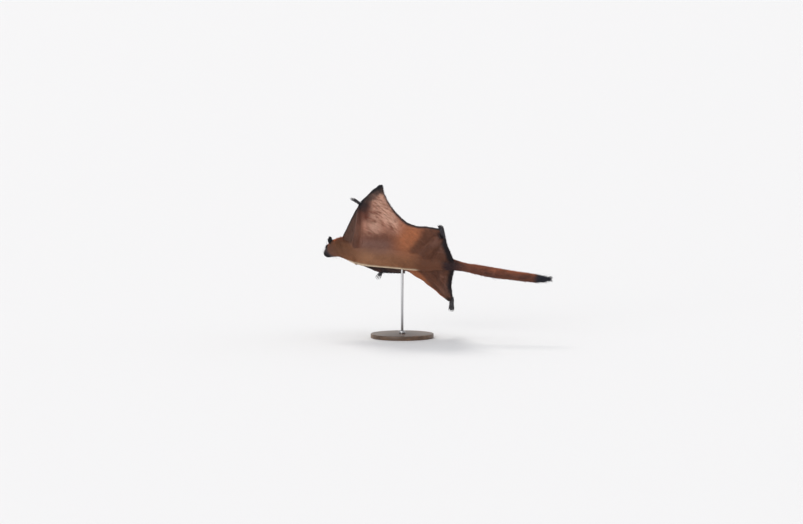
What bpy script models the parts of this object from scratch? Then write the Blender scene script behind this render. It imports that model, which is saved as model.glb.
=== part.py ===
"""A red giant flying squirrel, life size and still, gliding on spread membranes over a plain stand.

The animal is drawn in millimetres in a straight frame of its own: +X to its left, +Y back along
the body from the nose tip, +Z towards its back. Three moves then give the pose: the head turns on
the neck, the spine bends a little to the right, and the whole animal banks and pitches on its
parent empty. World frame: +Z up, -Y the way it glides, origin under the centre of the base.
"""

import math
from dataclasses import dataclass

import bmesh
import bpy
import numpy as np

MM = 0.001
GAP = 0.3  # between neighbouring solids
CUTTER_GROWTH = 0.42  # a cutter is its solid grown by a little more than the gap

# The glide
BANK = 44.4  # degrees, left wing up
PITCH = 5.7  # degrees, nose up
PIVOT = 257.0  # the place along the body that the empty carries
PIVOT_HEIGHT = 292.0
PIVOT_OFFSET = (8.6, -34.6)  # brings the centre of mass over the middle of the base
SPINE_BEND = 6.7  # degrees to the right, spread between the next two places
BEND_FRONT, BEND_REAR = 157.0, 407.0
HEAD_TURN = 28.0  # degrees to the right
HEAD_DROP = 2.0  # degrees, nose down
HEAD_ROLL = 16.0  # degrees, crown to the left, so that the head stays nearer level
NECK_REACH = (6.0, -22.0, 0.0)  # how far the neck carries the head left and forward
NECK_PIVOT = (0.0, 84.0, 28.0)
TURN_FULL, TURN_NONE = 62.0, 122.0  # the head's turn fades between these places

# The body from the nose tip to the tail tip:
# place along it, height of its middle, half width, and reach above and below the middle
BODY = (
    (0.0, 23.5, 3.8, 3.8, 3.6),
    (2.5, 24.2, 9.0, 8.4, 8.0),
    (8.0, 25.6, 14.2, 12.4, 12.4),
    (16.0, 27.6, 19.2, 17.0, 15.8),
    (25.0, 29.8, 24.2, 21.8, 18.8),
    (34.0, 31.0, 29.2, 25.6, 22.4),
    (44.0, 31.6, 33.0, 27.8, 26.4),
    (54.0, 31.6, 35.2, 30.4, 30.8),
    (64.0, 30.6, 36.6, 35.0, 35.8),
    (78.0, 27.0, 38.4, 42.0, 41.2),
    (98.0, 17.0, 40.4, 47.5, 43.0),
    (125.0, 6.5, 41.8, 46.0, 40.5),
    (165.0, 1.0, 42.5, 42.5, 38.0),
    (215.0, 1.0, 43.5, 41.5, 39.0),
    (265.0, 1.5, 44.0, 42.0, 40.5),
    (315.0, 1.0, 44.5, 41.5, 41.0),
    (360.0, -0.5, 42.5, 40.0, 38.0),
    (405.0, -2.5, 37.0, 35.0, 31.0),
    (445.0, -4.0, 27.5, 27.0, 24.0),
    (485.0, -7.0, 19.0, 19.0, 19.0),
    (525.0, -11.0, 16.5, 16.5, 18.0),
    (565.0, -14.0, 17.5, 17.5, 20.0),
    (612.0, -18.0, 19.0, 19.0, 21.5),
    (677.0, -21.0, 17.5, 17.5, 19.5),
    (740.0, -22.5, 16.5, 16.8, 17.5),
    (785.0, -22.5, 15.0, 15.4, 16.5),
    (815.0, -20.5, 11.0, 10.0, 13.0),
    (832.0, -18.5, 5.6, 4.6, 6.6),
    (841.0, -17.4, 1.4, 1.3, 1.3),
)
HEAD_END, NECK_END, TRUNK_END = 72.0, 112.0, 452.0
TAIL_CUTS = (590.0, 720.0)
TAIL_TIP = 841.0
SECTION_POWER = 2.25  # a little squarer than an ellipse

# Head
EYE_RADIUS = 7.4
EYE_PLACE = 29.5  # back from the nose tip
EYE_RISE = 29.0  # degrees above the head's middle
EYE_DEPTH = 4.6  # its centre, inside the coat's outline
EAR_PLACE = 54.0
EAR_RISE = 36.0
EAR_LENGTH, EAR_HALF_WIDTH, EAR_THICKNESS = 28.0, 13.0, 3.4
EAR_CUP = 7.0
EAR_LEAN = 6.0  # how far the tip bows forward
EAR_SET_IN = 9.0
EAR_AXIS = (0.86, 0.45, 0.06)  # out, back and up
EAR_FACING = (0.40, -0.75, 0.35)  # the way its hollow looks

# Limb joints of the left side
SHOULDER, ELBOW, WRIST = (20.0, 122.0, 0.0), (107.0, 144.0, 38.0), (189.0, 157.0, 81.0)
HAND_TIP = (232.0, 129.0, 75.0)
SPUR_TIP = (237.0, 236.0, 128.0)
HIP, KNEE, ANKLE = (20.0, 377.0, -2.0), (94.0, 416.0, -11.0), (178.0, 459.0, -24.0)
HEEL = (166.0, 466.0, -23.0)
TOE_TIP = (257.0, 457.0, -26.0)

# Half thicknesses of the limbs: in the plane of the membranes, and across it
SHOULDER_SIZE, ELBOW_SIZE, WRIST_SIZE = (19.0, 17.0), (11.5, 10.0), (7.0, 6.2)
HIP_SIZE, KNEE_SIZE, ANKLE_SIZE = (30.0, 24.0), (16.5, 14.0), (8.4, 7.6)
UPPER_ARM_SHARE, THIGH_SHARE = 0.49, 0.48  # where elbow and knee part the limbs

# Hands and feet
HAND_SET_BACK = 3.0  # how far the hand starts inside the wrist
CLAW_LENGTH, CLAW_RADIUS, CLAW_HOOK = 9.0, 1.5, 2.6
DIGIT_DROOP = 3.0
DIGIT_SET_IN = 5.0  # how far the digits start inside the pad
PAD_FRONT_ROUND = 2.2  # how much further back the outer digits start
# Where along the pad a ring is, and its shares of the pad's width and thickness
PAD_RINGS = ((0.0, 0.55, 0.7), (0.12, 0.78, 0.95), (0.45, 0.9, 1.0), (0.8, 1.0, 0.85), (1.0, 0.82, 0.62))

# The spur is the rod of gristle that carries the wing tip out from the wrist
SPUR_SIZES = ((4.4, 4.4), (3.6, 3.6), (3.4, 3.4))
SPUR_BOW = (2.0, 0.0, 2.0)

# Membranes, left side
NECK_CORNER = (24.0, 54.0, 36.0)
LEADING_EDGE = (NECK_CORNER, (66.0, 79.0, 51.0), (128.0, 115.0, 65.0), (190.0, 153.0, 83.0))
FREE_EDGE = (
    SPUR_TIP,
    (203.0, 243.0, 105.0),
    (167.0, 267.0, 83.0),
    (147.0, 308.0, 53.0),
    (161.0, 357.0, 21.0),
    (181.0, 406.0, 1.0),
    (199.0, 451.0, -20.0),
)
RIGHT_TIP_DROP = 8.0  # how much lower the right wing tip hangs
RIGHT_TIP_SHARES = (1.0, 0.8, 0.45, 0.15, 0.0, 0.0, 0.0)
LEFT_FOOT_REACH = (12.0, -1.0, 2.0)  # how much further out the left wing meets the foot
LEFT_FOOT_SHARES = (0.0, 0.0, 0.0, 0.0, 0.1, 0.6, 1.0)
REAR_EDGE = ((9.0, 489.0, -7.0), (60.0, 475.0, -11.0), (115.0, 467.0, -17.0), (170.0, 470.0, -23.0))
LEFT_REAR_STRETCH = 7.0  # how much further back the middle of the left rear edge is
FLANK_INSET = 26.0  # the membranes' root, inside the trunk
PLAGIOPATAGIUM_BILLOW, PROPATAGIUM_BILLOW, UROPATAGIUM_BILLOW = 9.0, 4.0, 3.0
MEMBRANE_THICKNESS, MEMBRANE_EDGE = 6.0, 3.6
EDGE_TAPER = 0.22  # the share of the width over which a free edge thins
ROOT_FILLET, ROOT_FILLET_START, ROOT_FILLET_REACH = 13.0, 42.0, 13.0
ARM_ROOT, LEG_ROOT = (FLANK_INSET, 124.0, 1.0), (FLANK_INSET, 377.0, -2.0)

# Stand
BASE_RADIUS, BASE_THICKNESS, BASE_BEVEL = 112.0, 15.0, 2.5
ROD_RADIUS = 4.5
COLLAR_RADIUS, COLLAR_HEIGHT, COLLAR_CHAMFER = 11.0, 9.0, 3.0

COAT_RUST = (0.33, 0.10, 0.035)
COAT_DARK = (0.045, 0.030, 0.028)
MEMBRANE_BROWN = (0.25, 0.12, 0.075)
EYE_BLACK = (0.010, 0.007, 0.006)
STAND_WOOD = (0.16, 0.10, 0.065)
STAND_STEEL = (0.32, 0.32, 0.33)


def clear_scene():
    """Empties the scene."""
    for obj in list(bpy.data.objects):
        bpy.data.objects.remove(obj)


def new_collection(name):
    """A collection under the scene's own."""
    collection = bpy.data.collections.new(name)
    bpy.context.scene.collection.children.link(collection)
    return collection


def finish(name, colour, roughness, metallic=0.0):
    """A plain Principled material."""
    material = bpy.data.materials.new(name)
    material.use_nodes = True
    shader = material.node_tree.nodes["Principled BSDF"]
    shader.inputs["Base Color"].default_value = (*colour, 1.0)
    shader.inputs["Roughness"].default_value = roughness
    shader.inputs["Metallic"].default_value = metallic
    return material


def unit(vector):
    """The vector at length 1."""
    vector = np.asarray(vector, float)
    return vector / np.linalg.norm(vector)


def smoothstep(share):
    """0 to 1, easing in and out."""
    share = np.clip(share, 0.0, 1.0)
    return share * share * (3.0 - 2.0 * share)


def chord_knots(keys):
    """Shares of a polyline's length at its points."""
    steps = np.linalg.norm(np.diff(keys, axis=0), axis=1)
    return np.concatenate([[0.0], np.cumsum(steps)]) / steps.sum()


def through(keys, places, knots=None):
    """Points at these places on a smooth curve through the keys."""
    keys = np.asarray(keys, float)
    knots = chord_knots(keys) if knots is None else np.asarray(knots, float)
    slopes = np.gradient(keys, knots, axis=0)
    places = np.asarray(places, float)
    index = np.clip(np.searchsorted(knots, places, "right") - 1, 0, len(knots) - 2)
    span = (knots[index + 1] - knots[index])[:, None]
    t = (places - knots[index])[:, None] / span
    return (
        (2 * t**3 - 3 * t**2 + 1) * keys[index]
        + (t**3 - 2 * t**2 + t) * span * slopes[index]
        + (3 * t**2 - 2 * t**3) * keys[index + 1]
        + (t**3 - t**2) * span * slopes[index + 1]
    )


def rotation(axis, degrees):
    """Rotation matrix about one of the axes 0, 1 and 2."""
    angle = math.radians(degrees)
    turned = np.eye(3)
    b, c = (axis + 1) % 3, (axis + 2) % 3
    turned[b, b] = turned[c, c] = math.cos(angle)
    turned[b, c] = -math.sin(angle)
    turned[c, b] = math.sin(angle)
    return turned


def turn_head(points):
    """Turns what is on the head to its right and down, fading out along the neck."""
    points = np.array(points, float)
    pivot = np.array(NECK_PIVOT)
    for i, point in enumerate(points):
        share = float(smoothstep((TURN_NONE - point[1]) / (TURN_NONE - TURN_FULL)))
        turn = rotation(2, -HEAD_TURN * share) @ rotation(0, HEAD_DROP * share)
        turn = turn @ rotation(1, HEAD_ROLL * share)
        points[i] = pivot + turn @ (point - pivot) + np.array(NECK_REACH) * share
    return points


def bend_spine(points):
    """Bends the straight animal to its right between two places along it."""
    points = np.array(points, float)
    bend = math.radians(SPINE_BEND)
    radius = (BEND_REAR - BEND_FRONT) / bend
    share = np.clip((BEND_REAR - points[:, 1]) / (BEND_REAR - BEND_FRONT), 0.0, 1.0)
    angle = bend * share
    ahead = np.maximum(BEND_FRONT - points[:, 1], 0.0)
    behind = np.maximum(points[:, 1] - BEND_REAR, 0.0)
    x = points[:, 0]
    points[:, 0] = -radius * (1 - np.cos(angle)) - ahead * np.sin(angle) + x * np.cos(angle)
    points[:, 1] = (
        BEND_REAR - radius * np.sin(angle) - ahead * np.cos(angle) - x * np.sin(angle) + behind
    )
    return points


def mirrored(point, side):
    """The left side's point, or its mirror image for side -1."""
    return np.asarray(point, float) * (side, 1.0, 1.0)


class Model:
    """The collections, the posing empty and the materials that the solids share."""

    def __init__(self):
        self.parts = new_collection("flying_squirrel")
        self.cutters = new_collection("cutters")
        self.pose = bpy.data.objects.new("glide_pose", None)
        self.parts.objects.link(self.pose)
        self.pose.rotation_mode = "YXZ"
        self.pose.rotation_euler = (math.radians(-PITCH), math.radians(-BANK), 0.0)
        self.pose.location = (*(value * MM for value in PIVOT_OFFSET), PIVOT_HEIGHT * MM)
        self.coat = finish("coat_rust", COAT_RUST, 0.8)
        self.dark = finish("coat_dark", COAT_DARK, 0.75)
        self.membrane = finish("membrane", MEMBRANE_BROWN, 0.8)
        self.eye = finish("eye", EYE_BLACK, 0.1)
        self.wood = finish("stand_wood", STAND_WOOD, 0.5)
        self.steel = finish("stand_steel", STAND_STEEL, 0.35, 1.0)

    def solid(self, name, points, faces, material, bent=True):
        """An object of the animal, from points in its straight frame."""
        points = bend_spine(points) if bent else np.array(points, float)
        points[:, 1] -= PIVOT
        mesh = bpy.data.meshes.new(name)
        mesh.from_pydata((points * MM).tolist(), [], faces)
        shape = bmesh.new()
        shape.from_mesh(mesh)
        bmesh.ops.recalc_face_normals(shape, faces=shape.faces)
        shape.to_mesh(mesh)
        shape.free()
        mesh.materials.append(material)
        mesh.shade_smooth()
        obj = bpy.data.objects.new(name, mesh)
        self.parts.objects.link(obj)
        obj.parent = self.pose
        return obj

    def helper(self, obj):
        """Makes the object one that only cuts or adds to others."""
        self.parts.objects.unlink(obj)
        self.cutters.objects.link(obj)
        obj.hide_render = True
        obj.display_type = "WIRE"
        return obj

    def grown(self, obj):
        """A copy of a solid, larger all round by a little more than the gap, for cutting."""
        mesh = obj.data.copy()
        places = np.empty(len(mesh.vertices) * 3)
        normals = np.empty(len(mesh.vertices) * 3)
        mesh.vertices.foreach_get("co", places)
        mesh.vertex_normals.foreach_get("vector", normals)
        mesh.vertices.foreach_set("co", places + normals * CUTTER_GROWTH * MM)
        mesh.update()
        cutter = bpy.data.objects.new(obj.name + "_cutter", mesh)
        self.parts.objects.link(cutter)
        cutter.parent = obj.parent
        cutter.location = obj.location
        return self.helper(cutter)

    def combine(self, obj, others, operation, solver="EXACT"):
        """Boolean modifiers of one kind on the object, one for each of the others."""
        for other in others:
            modifier = obj.modifiers.new(operation.lower() + "_" + other.name[:40], "BOOLEAN")
            modifier.operation = operation
            modifier.object = other
            modifier.solver = solver


def lofted(rings):
    """Points and faces of a closed solid through rings of equal count, with fanned ends."""
    count, sides = len(rings), len(rings[0])
    points = np.concatenate([*rings, [rings[0].mean(0)], [rings[-1].mean(0)]])
    faces = []
    for i in range(count - 1):
        for j in range(sides):
            k = (j + 1) % sides
            faces.append((i * sides + j, i * sides + k, (i + 1) * sides + k, (i + 1) * sides + j))
    first, last = count * sides, count * sides + 1
    for j in range(sides):
        k = (j + 1) % sides
        faces.append((first, k, j))
        faces.append((last, (count - 1) * sides + j, (count - 1) * sides + k))
    return points, faces


def section(centre, across, over, half_width, above, below, sides, power=2.0):
    """A ring round a centre: a squared ellipse whose upper and lower halves may differ."""
    angles = np.arange(sides) * 2 * math.pi / sides
    x = np.sign(np.cos(angles)) * np.abs(np.cos(angles)) ** (2 / power)
    z = np.sign(np.sin(angles)) * np.abs(np.sin(angles)) ** (2 / power)
    height = np.where(z >= 0, above, below) * z
    return centre + np.outer(half_width * x, across) + np.outer(height, over)


def body_section(place, sides):
    """The body's ring at a place along it, with the head's turn."""
    table = np.array(BODY)
    middle, half_width, above, below = through(table[:, 1:], [place], table[:, 0])[0]
    centre = np.array((0.0, place, middle))
    ring = section(centre, (1, 0, 0), (0, 0, 1), half_width, above, below, sides, SECTION_POWER)
    return turn_head(ring)


def body_places(start, end, rings, ease_front=False, ease_rear=False):
    """Places between two cuts, closer together towards a rounded end."""
    share = np.linspace(0.0, 1.0, rings)
    if ease_front:
        share = share**1.7
    if ease_rear:
        share = 1 - (1 - share) ** 1.7
    return start + (end - start) * share


def make_body(model):
    """Head, neck, trunk and tail, parted by flat cuts across one continuous form."""
    half = GAP / 2
    cuts = (
        ("head", 0.0, HEAD_END - half, 13, 18, True, False, model.coat),
        ("neck", HEAD_END + half, NECK_END - half, 5, 18, False, False, model.coat),
        ("trunk", NECK_END + half, TRUNK_END - half, 13, 18, False, False, model.coat),
        ("tail_base", TRUNK_END + half, TAIL_CUTS[0] - half, 6, 12, False, False, model.coat),
        ("tail_middle", TAIL_CUTS[0] + half, TAIL_CUTS[1] - half, 4, 12, False, False, model.coat),
        ("tail_tip", TAIL_CUTS[1] + half, TAIL_TIP, 9, 12, False, True, model.dark),
    )
    made = {}
    for name, start, end, rings, sides, front, rear, material in cuts:
        places = body_places(start, end, rings, front, rear)
        points, faces = lofted([body_section(place, sides) for place in places])
        made[name] = model.solid(name, points, faces, material)
    return made


def head_surface(place, rise, side):
    """A point of the head's outline and the way out of it, before the head's turn."""
    table = np.array(BODY)
    middle, half_width, above, _ = through(table[:, 1:], [place], table[:, 0])[0]
    angle = math.radians(rise)
    point = np.array((side * half_width * math.cos(angle), place, middle + above * math.sin(angle)))
    outward = unit((side * math.cos(angle) / half_width, 0.0, math.sin(angle) / above))
    return point, outward


def make_eye(model, name, side):
    """An eyeball, set into the head by a little over half its depth."""
    point, outward = head_surface(EYE_PLACE, EYE_RISE, side)
    centre = point - outward * EYE_DEPTH
    across = unit(np.cross(outward, (0.0, 1.0, 0.0)))
    over = np.cross(outward, across)
    rings = []
    for polar in np.linspace(0.0, math.pi, 9)[1:-1]:
        ring_centre = centre + outward * EYE_RADIUS * math.cos(polar)
        radius = EYE_RADIUS * math.sin(polar)
        rings.append(section(ring_centre, across, over, radius, radius, radius, 12))
    points, faces = lofted(rings)
    points[-2] = centre + outward * EYE_RADIUS
    points[-1] = centre - outward * EYE_RADIUS
    return model.solid(name, turn_head(points), faces, model.eye)


def thickened(grid, thickness):
    """Points and faces of a closed sheet, the grid's surface with this thickness at each point."""
    rows, columns = grid.shape[:2]
    along = np.gradient(grid, axis=0)
    across = np.gradient(grid, axis=1)
    normal = np.cross(along, across)
    normal /= np.linalg.norm(normal, axis=2, keepdims=True)
    half = normal * np.asarray(thickness)[..., None] / 2
    points = np.concatenate([(grid + half).reshape(-1, 3), (grid - half).reshape(-1, 3)])
    under = rows * columns
    faces = []
    for i in range(rows - 1):
        for j in range(columns - 1):
            a, b = i * columns + j, i * columns + j + 1
            c, d = b + columns, a + columns
            faces.append((a, b, c, d))
            faces.append((under + d, under + c, under + b, under + a))
    rim = [i * columns for i in range(rows)]
    rim += [(rows - 1) * columns + j for j in range(1, columns)]
    rim += [i * columns + columns - 1 for i in range(rows - 2, -1, -1)]
    rim += list(range(columns - 2, 0, -1))
    for here, there in zip(rim, rim[1:] + rim[:1]):
        faces.append((here, there, under + there, under + here))
    return points, faces


def make_ear(model, name, side):
    """A cupped, round-tipped ear that starts inside the head."""
    point, outward = head_surface(EAR_PLACE, EAR_RISE, side)
    axis = unit(mirrored(EAR_AXIS, side))
    facing = unit(mirrored(EAR_FACING, side))
    facing = unit(facing - axis * (facing @ axis))
    across = np.cross(axis, facing) * side
    base = point - outward * EAR_SET_IN
    rows, columns = 9, 7
    grid = np.empty((rows, columns, 3))
    thickness = np.empty((rows, columns))
    for i, up in enumerate(np.linspace(0.0, 1.0, rows)):
        swell = 0.62 + 0.38 * math.sin(min(up / 0.55, 1.0) * math.pi / 2)
        taper = math.sqrt(max(1.0 - max((up - 0.45) / 0.58, 0.0) ** 2.2, 0.0))
        half_width = EAR_HALF_WIDTH * swell * taper
        for j, out in enumerate(np.linspace(-1.0, 1.0, columns)):
            hollow = EAR_CUP * (1.0 - 0.55 * up) * (out * out - 0.4)
            lean = EAR_LEAN * up * up
            grid[i, j] = base + axis * (EAR_SET_IN + EAR_LENGTH) * up + across * half_width * out
            grid[i, j] += facing * (hollow + lean)
            thickness[i, j] = EAR_THICKNESS * (1.25 - 0.45 * up) * (1.0 - 0.35 * out * out)
    points, faces = thickened(grid, thickness)
    return model.solid(name, turn_head(points), faces, model.dark)


def limb_rings(keys, sizes, sides, rings, start=0.0, end=1.0):
    """Rings along a limb's line. sizes are the half thicknesses in and across its flat plane."""
    keys = np.asarray(keys, float)
    places = np.linspace(start, end, rings)
    centres = through(keys, places)
    ahead = through(keys, np.clip(places + 0.01, 0, 1)) - through(keys, np.clip(places - 0.01, 0, 1))
    widths = through(sizes, places, chord_knots(keys))
    made = []
    for centre, direction, (wide, thick) in zip(centres, ahead, widths):
        direction = unit(direction)
        over = unit(np.array((0.0, 0.0, 1.0)) - direction * direction[2])
        across = np.cross(direction, over)
        made.append(section(centre, across, over, wide, thick, thick, sides))
    return made


def parted_limb(model, names, keys, sizes, share, material):
    """The two lengths of a limb, parted across it at a share of its length."""
    gap_share = GAP / np.linalg.norm(np.diff(keys, axis=0), axis=1).sum() / 2
    lengths = ((names[0], 0.0, share - gap_share), (names[1], share + gap_share, 1.0))
    made = []
    for name, start, end in lengths:
        points, faces = lofted(limb_rings(keys, sizes, 12, 5, start, end))
        made.append(model.solid(name, points, faces, material))
    return made


@dataclass(frozen=True)
class PawShape:
    """Sizes of a hand or a foot."""

    length: float
    half_width: float
    half_thickness: float
    digits: int
    digit_length: float
    digit_radius: float


HAND = PawShape(22.0, 7.6, 4.8, 4, 26.0, 2.3)
FOOT = PawShape(60.0, 9.0, 6.0, 5, 19.0, 2.5)


def digit(model, name, root, direction, spread, length, radius):
    """A finger or toe with its claw, as one tapering bent spike. It is added to hand or foot."""
    total = length + CLAW_LENGTH
    down = np.array((0.0, 0.0, -1.0))
    across = unit(np.cross(direction, down))
    claw_start = length / total
    rings = []
    for t in np.linspace(0.0, 1.0, 5):
        past = max(t - claw_start, 0.0) / (1.0 - claw_start)
        centre = root + direction * total * t * (1 - 0.08 * t) + spread * t * (1 - 0.4 * t)
        centre = centre + down * (DIGIT_DROOP * t * t + CLAW_HOOK * past * past)
        size = radius * (1.0 - 0.25 * min(t / claw_start, 1.0))
        size = size + (CLAW_RADIUS - size) * min(past * 3.0, 1.0)
        size = size * (1.0 - 0.86 * past)
        rings.append(section(centre, across, -down, size, size, size, 5))
    points, faces = lofted(rings)
    return model.helper(model.solid(name, points, faces, model.dark))


def paw(model, name, root, tip, shape):
    """A hand or foot: a flattened pad that ends in a fan of clawed digits."""
    direction = unit(tip - root)
    over = unit(np.array((0.0, 0.0, 1.0)) - direction * direction[2])
    across = np.cross(direction, over)
    rings = []
    for t, wide, thick in PAD_RINGS:
        centre = root + direction * shape.length * t
        half_thickness = shape.half_thickness * thick
        rings.append(section(centre, across, over, shape.half_width * wide, half_thickness,
                             half_thickness, 8, 2.4))
    points, faces = lofted(rings)
    made = model.solid(name, points, faces, model.dark)
    added = []
    for i in range(shape.digits):
        out = 2.0 * i / (shape.digits - 1) - 1.0
        start = root + direction * (shape.length - DIGIT_SET_IN - PAD_FRONT_ROUND * out * out)
        start = start + across * (shape.half_width - shape.digit_radius * 1.05) * out
        reach = shape.digit_length * (1.0 - 0.16 * out * out)
        fan = across * out * shape.digit_length * 0.2
        digit_name = f"{name}_digit_{i + 1}"
        added.append(digit(model, digit_name, start, direction, fan, reach, shape.digit_radius))
    model.combine(made, added, "UNION")
    return made


def coons(front, rear, inner, outer):
    """A grid of points on the smooth patch between four curves, front to rear by inner to outer."""
    rows, columns = len(inner), len(front)
    u = np.linspace(0.0, 1.0, rows)[:, None, None]
    v = np.linspace(0.0, 1.0, columns)[None, :, None]
    ruled = (1 - u) * front[None] + u * rear[None] + (1 - v) * inner[:, None] + v * outer[:, None]
    corners = (1 - u) * (1 - v) * front[0] + (1 - u) * v * front[-1]
    corners = corners + u * (1 - v) * rear[0] + u * v * rear[-1]
    return ruled - corners


def free_edge(side):
    """The wing's free edge from spur tip to foot, drawn on the left, as this side has it."""
    edge = np.array(FREE_EDGE)
    if side > 0:
        return edge + np.outer(LEFT_FOOT_SHARES, LEFT_FOOT_REACH)
    return edge - np.outer(RIGHT_TIP_SHARES, (0.0, 0.0, RIGHT_TIP_DROP))


def membrane(model, name, side, front, rear, inner, outer, free, billow):
    """A thick membrane between four curves. free names the sides that taper to a thin edge."""
    grid = coons(front, rear, inner, outer)
    rows, columns = grid.shape[:2]
    u = np.linspace(0.0, 1.0, rows)[:, None]
    v = np.linspace(0.0, 1.0, columns)[None, :]
    grid[..., 2] += billow * np.sin(math.pi * u) * np.sin(math.pi * v)
    away = np.maximum(np.abs(grid[..., 0]) - ROOT_FILLET_START, 0.0)
    thickness = MEMBRANE_THICKNESS + ROOT_FILLET * np.exp(-away / ROOT_FILLET_REACH)
    to_edge = {"front": u + 0 * v, "rear": 1 - u + 0 * v, "outer": 1 - v + 0 * u}
    for edge in free:
        share = smoothstep(to_edge[edge] / EDGE_TAPER)
        thickness = thickness * share + MEMBRANE_EDGE * (1 - share)
    points, faces = thickened(grid * (side, 1.0, 1.0), thickness)
    return model.solid(name, points, faces, model.membrane)


def make_side(model, label, side, body, body_cutters):
    """Everything paired: ear, eye, arm, hand, spur, leg, foot and the three membranes."""
    eye = make_eye(model, f"eye_{label}", side)
    model.combine(body["head"], [model.grown(eye)], "DIFFERENCE")
    ear = make_ear(model, f"ear_{label}", side)
    model.combine(ear, [body_cutters["head"], body_cutters["neck"]], "DIFFERENCE")

    shoulder, elbow, wrist = (mirrored(p, side) for p in (SHOULDER, ELBOW, WRIST))
    hip, knee, ankle = (mirrored(p, side) for p in (HIP, KNEE, ANKLE))
    edge = free_edge(side)
    spur_tip, hand_tip = mirrored(edge[0], side), mirrored(HAND_TIP, side)
    heel, toe_tip = mirrored(HEEL, side), mirrored(TOE_TIP, side)

    upper_arm, forearm = parted_limb(
        model, (f"upper_arm_{label}", f"forearm_{label}"), (shoulder, elbow, wrist),
        (SHOULDER_SIZE, ELBOW_SIZE, WRIST_SIZE), UPPER_ARM_SHARE, model.coat)
    thigh, shank = parted_limb(
        model, (f"thigh_{label}", f"shank_{label}"), (hip, knee, ankle),
        (HIP_SIZE, KNEE_SIZE, ANKLE_SIZE), THIGH_SHARE, model.coat)
    hand_root = wrist - unit(hand_tip - wrist) * HAND_SET_BACK
    hand = paw(model, f"hand_{label}", hand_root, hand_tip, HAND)
    foot = paw(model, f"foot_{label}", heel, toe_tip, FOOT)
    spur_keys = (wrist, (wrist + spur_tip) / 2 + mirrored(SPUR_BOW, side), spur_tip)
    points, faces = lofted(limb_rings(spur_keys, SPUR_SIZES, 8, 7))
    spur = model.solid(f"spur_{label}", points, faces, model.dark)

    arm_cutters = [model.grown(upper_arm), model.grown(forearm), model.grown(spur)]
    leg_cutters = [model.grown(thigh), model.grown(shank)]
    hand_cutter, foot_cutter = model.grown(hand), model.grown(foot)
    model.combine(forearm, [hand_cutter], "DIFFERENCE")
    model.combine(spur, [hand_cutter, arm_cutters[1]], "DIFFERENCE")
    model.combine(shank, [foot_cutter], "DIFFERENCE")
    model.combine(upper_arm, [body_cutters["trunk"], body_cutters["neck"]], "DIFFERENCE")
    model.combine(thigh, [body_cutters["trunk"], body_cutters["tail_base"]], "DIFFERENCE")

    columns = np.linspace(0.0, 1.0, 10)
    arm_line = through((SHOULDER, ELBOW, WRIST), columns)
    leading = through(LEADING_EDGE, columns)
    short = np.linspace(0.0, 1.0, 5)[:, None]
    propatagium = membrane(
        model, f"propatagium_{label}", side, leading, arm_line,
        leading[0] + (arm_line[0] - leading[0]) * short,
        leading[-1] + (arm_line[-1] - leading[-1]) * short, ("front",), PROPATAGIUM_BILLOW)

    columns = np.linspace(0.0, 1.0, 11)
    rows = np.linspace(0.0, 1.0, 13)
    inner = ARM_ROOT + (np.array(LEG_ROOT) - ARM_ROOT) * rows[:, None]
    plagiopatagium = membrane(
        model, f"plagiopatagium_{label}", side,
        through((ARM_ROOT, ELBOW, WRIST, edge[0]), columns),
        through((LEG_ROOT, KNEE, ANKLE, edge[-1]), columns),
        inner, through(edge, rows), ("outer",), PLAGIOPATAGIUM_BILLOW)

    columns = np.linspace(0.0, 1.0, 9)
    leg_line = through((HIP, KNEE, ANKLE), columns)
    rear_edge = through(REAR_EDGE, columns)
    if side > 0:
        rear_edge[:, 1] += LEFT_REAR_STRETCH * np.sin(math.pi * columns)
    short = np.linspace(0.0, 1.0, 6)[:, None]
    uropatagium = membrane(
        model, f"uropatagium_{label}", side, leg_line, rear_edge,
        leg_line[0] + (rear_edge[0] - leg_line[0]) * short,
        leg_line[-1] + (rear_edge[-1] - leg_line[-1]) * short, ("rear",), UROPATAGIUM_BILLOW)

    model.combine(propatagium, [body_cutters["neck"], body_cutters["trunk"], body_cutters["head"],
                                *arm_cutters, hand_cutter], "DIFFERENCE", "MANIFOLD")
    model.combine(plagiopatagium, [body_cutters["trunk"], *arm_cutters, hand_cutter, *leg_cutters,
                                   foot_cutter], "DIFFERENCE", "MANIFOLD")
    model.combine(uropatagium, [body_cutters["trunk"], body_cutters["tail_base"], *leg_cutters,
                                foot_cutter], "DIFFERENCE", "MANIFOLD")


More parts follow.
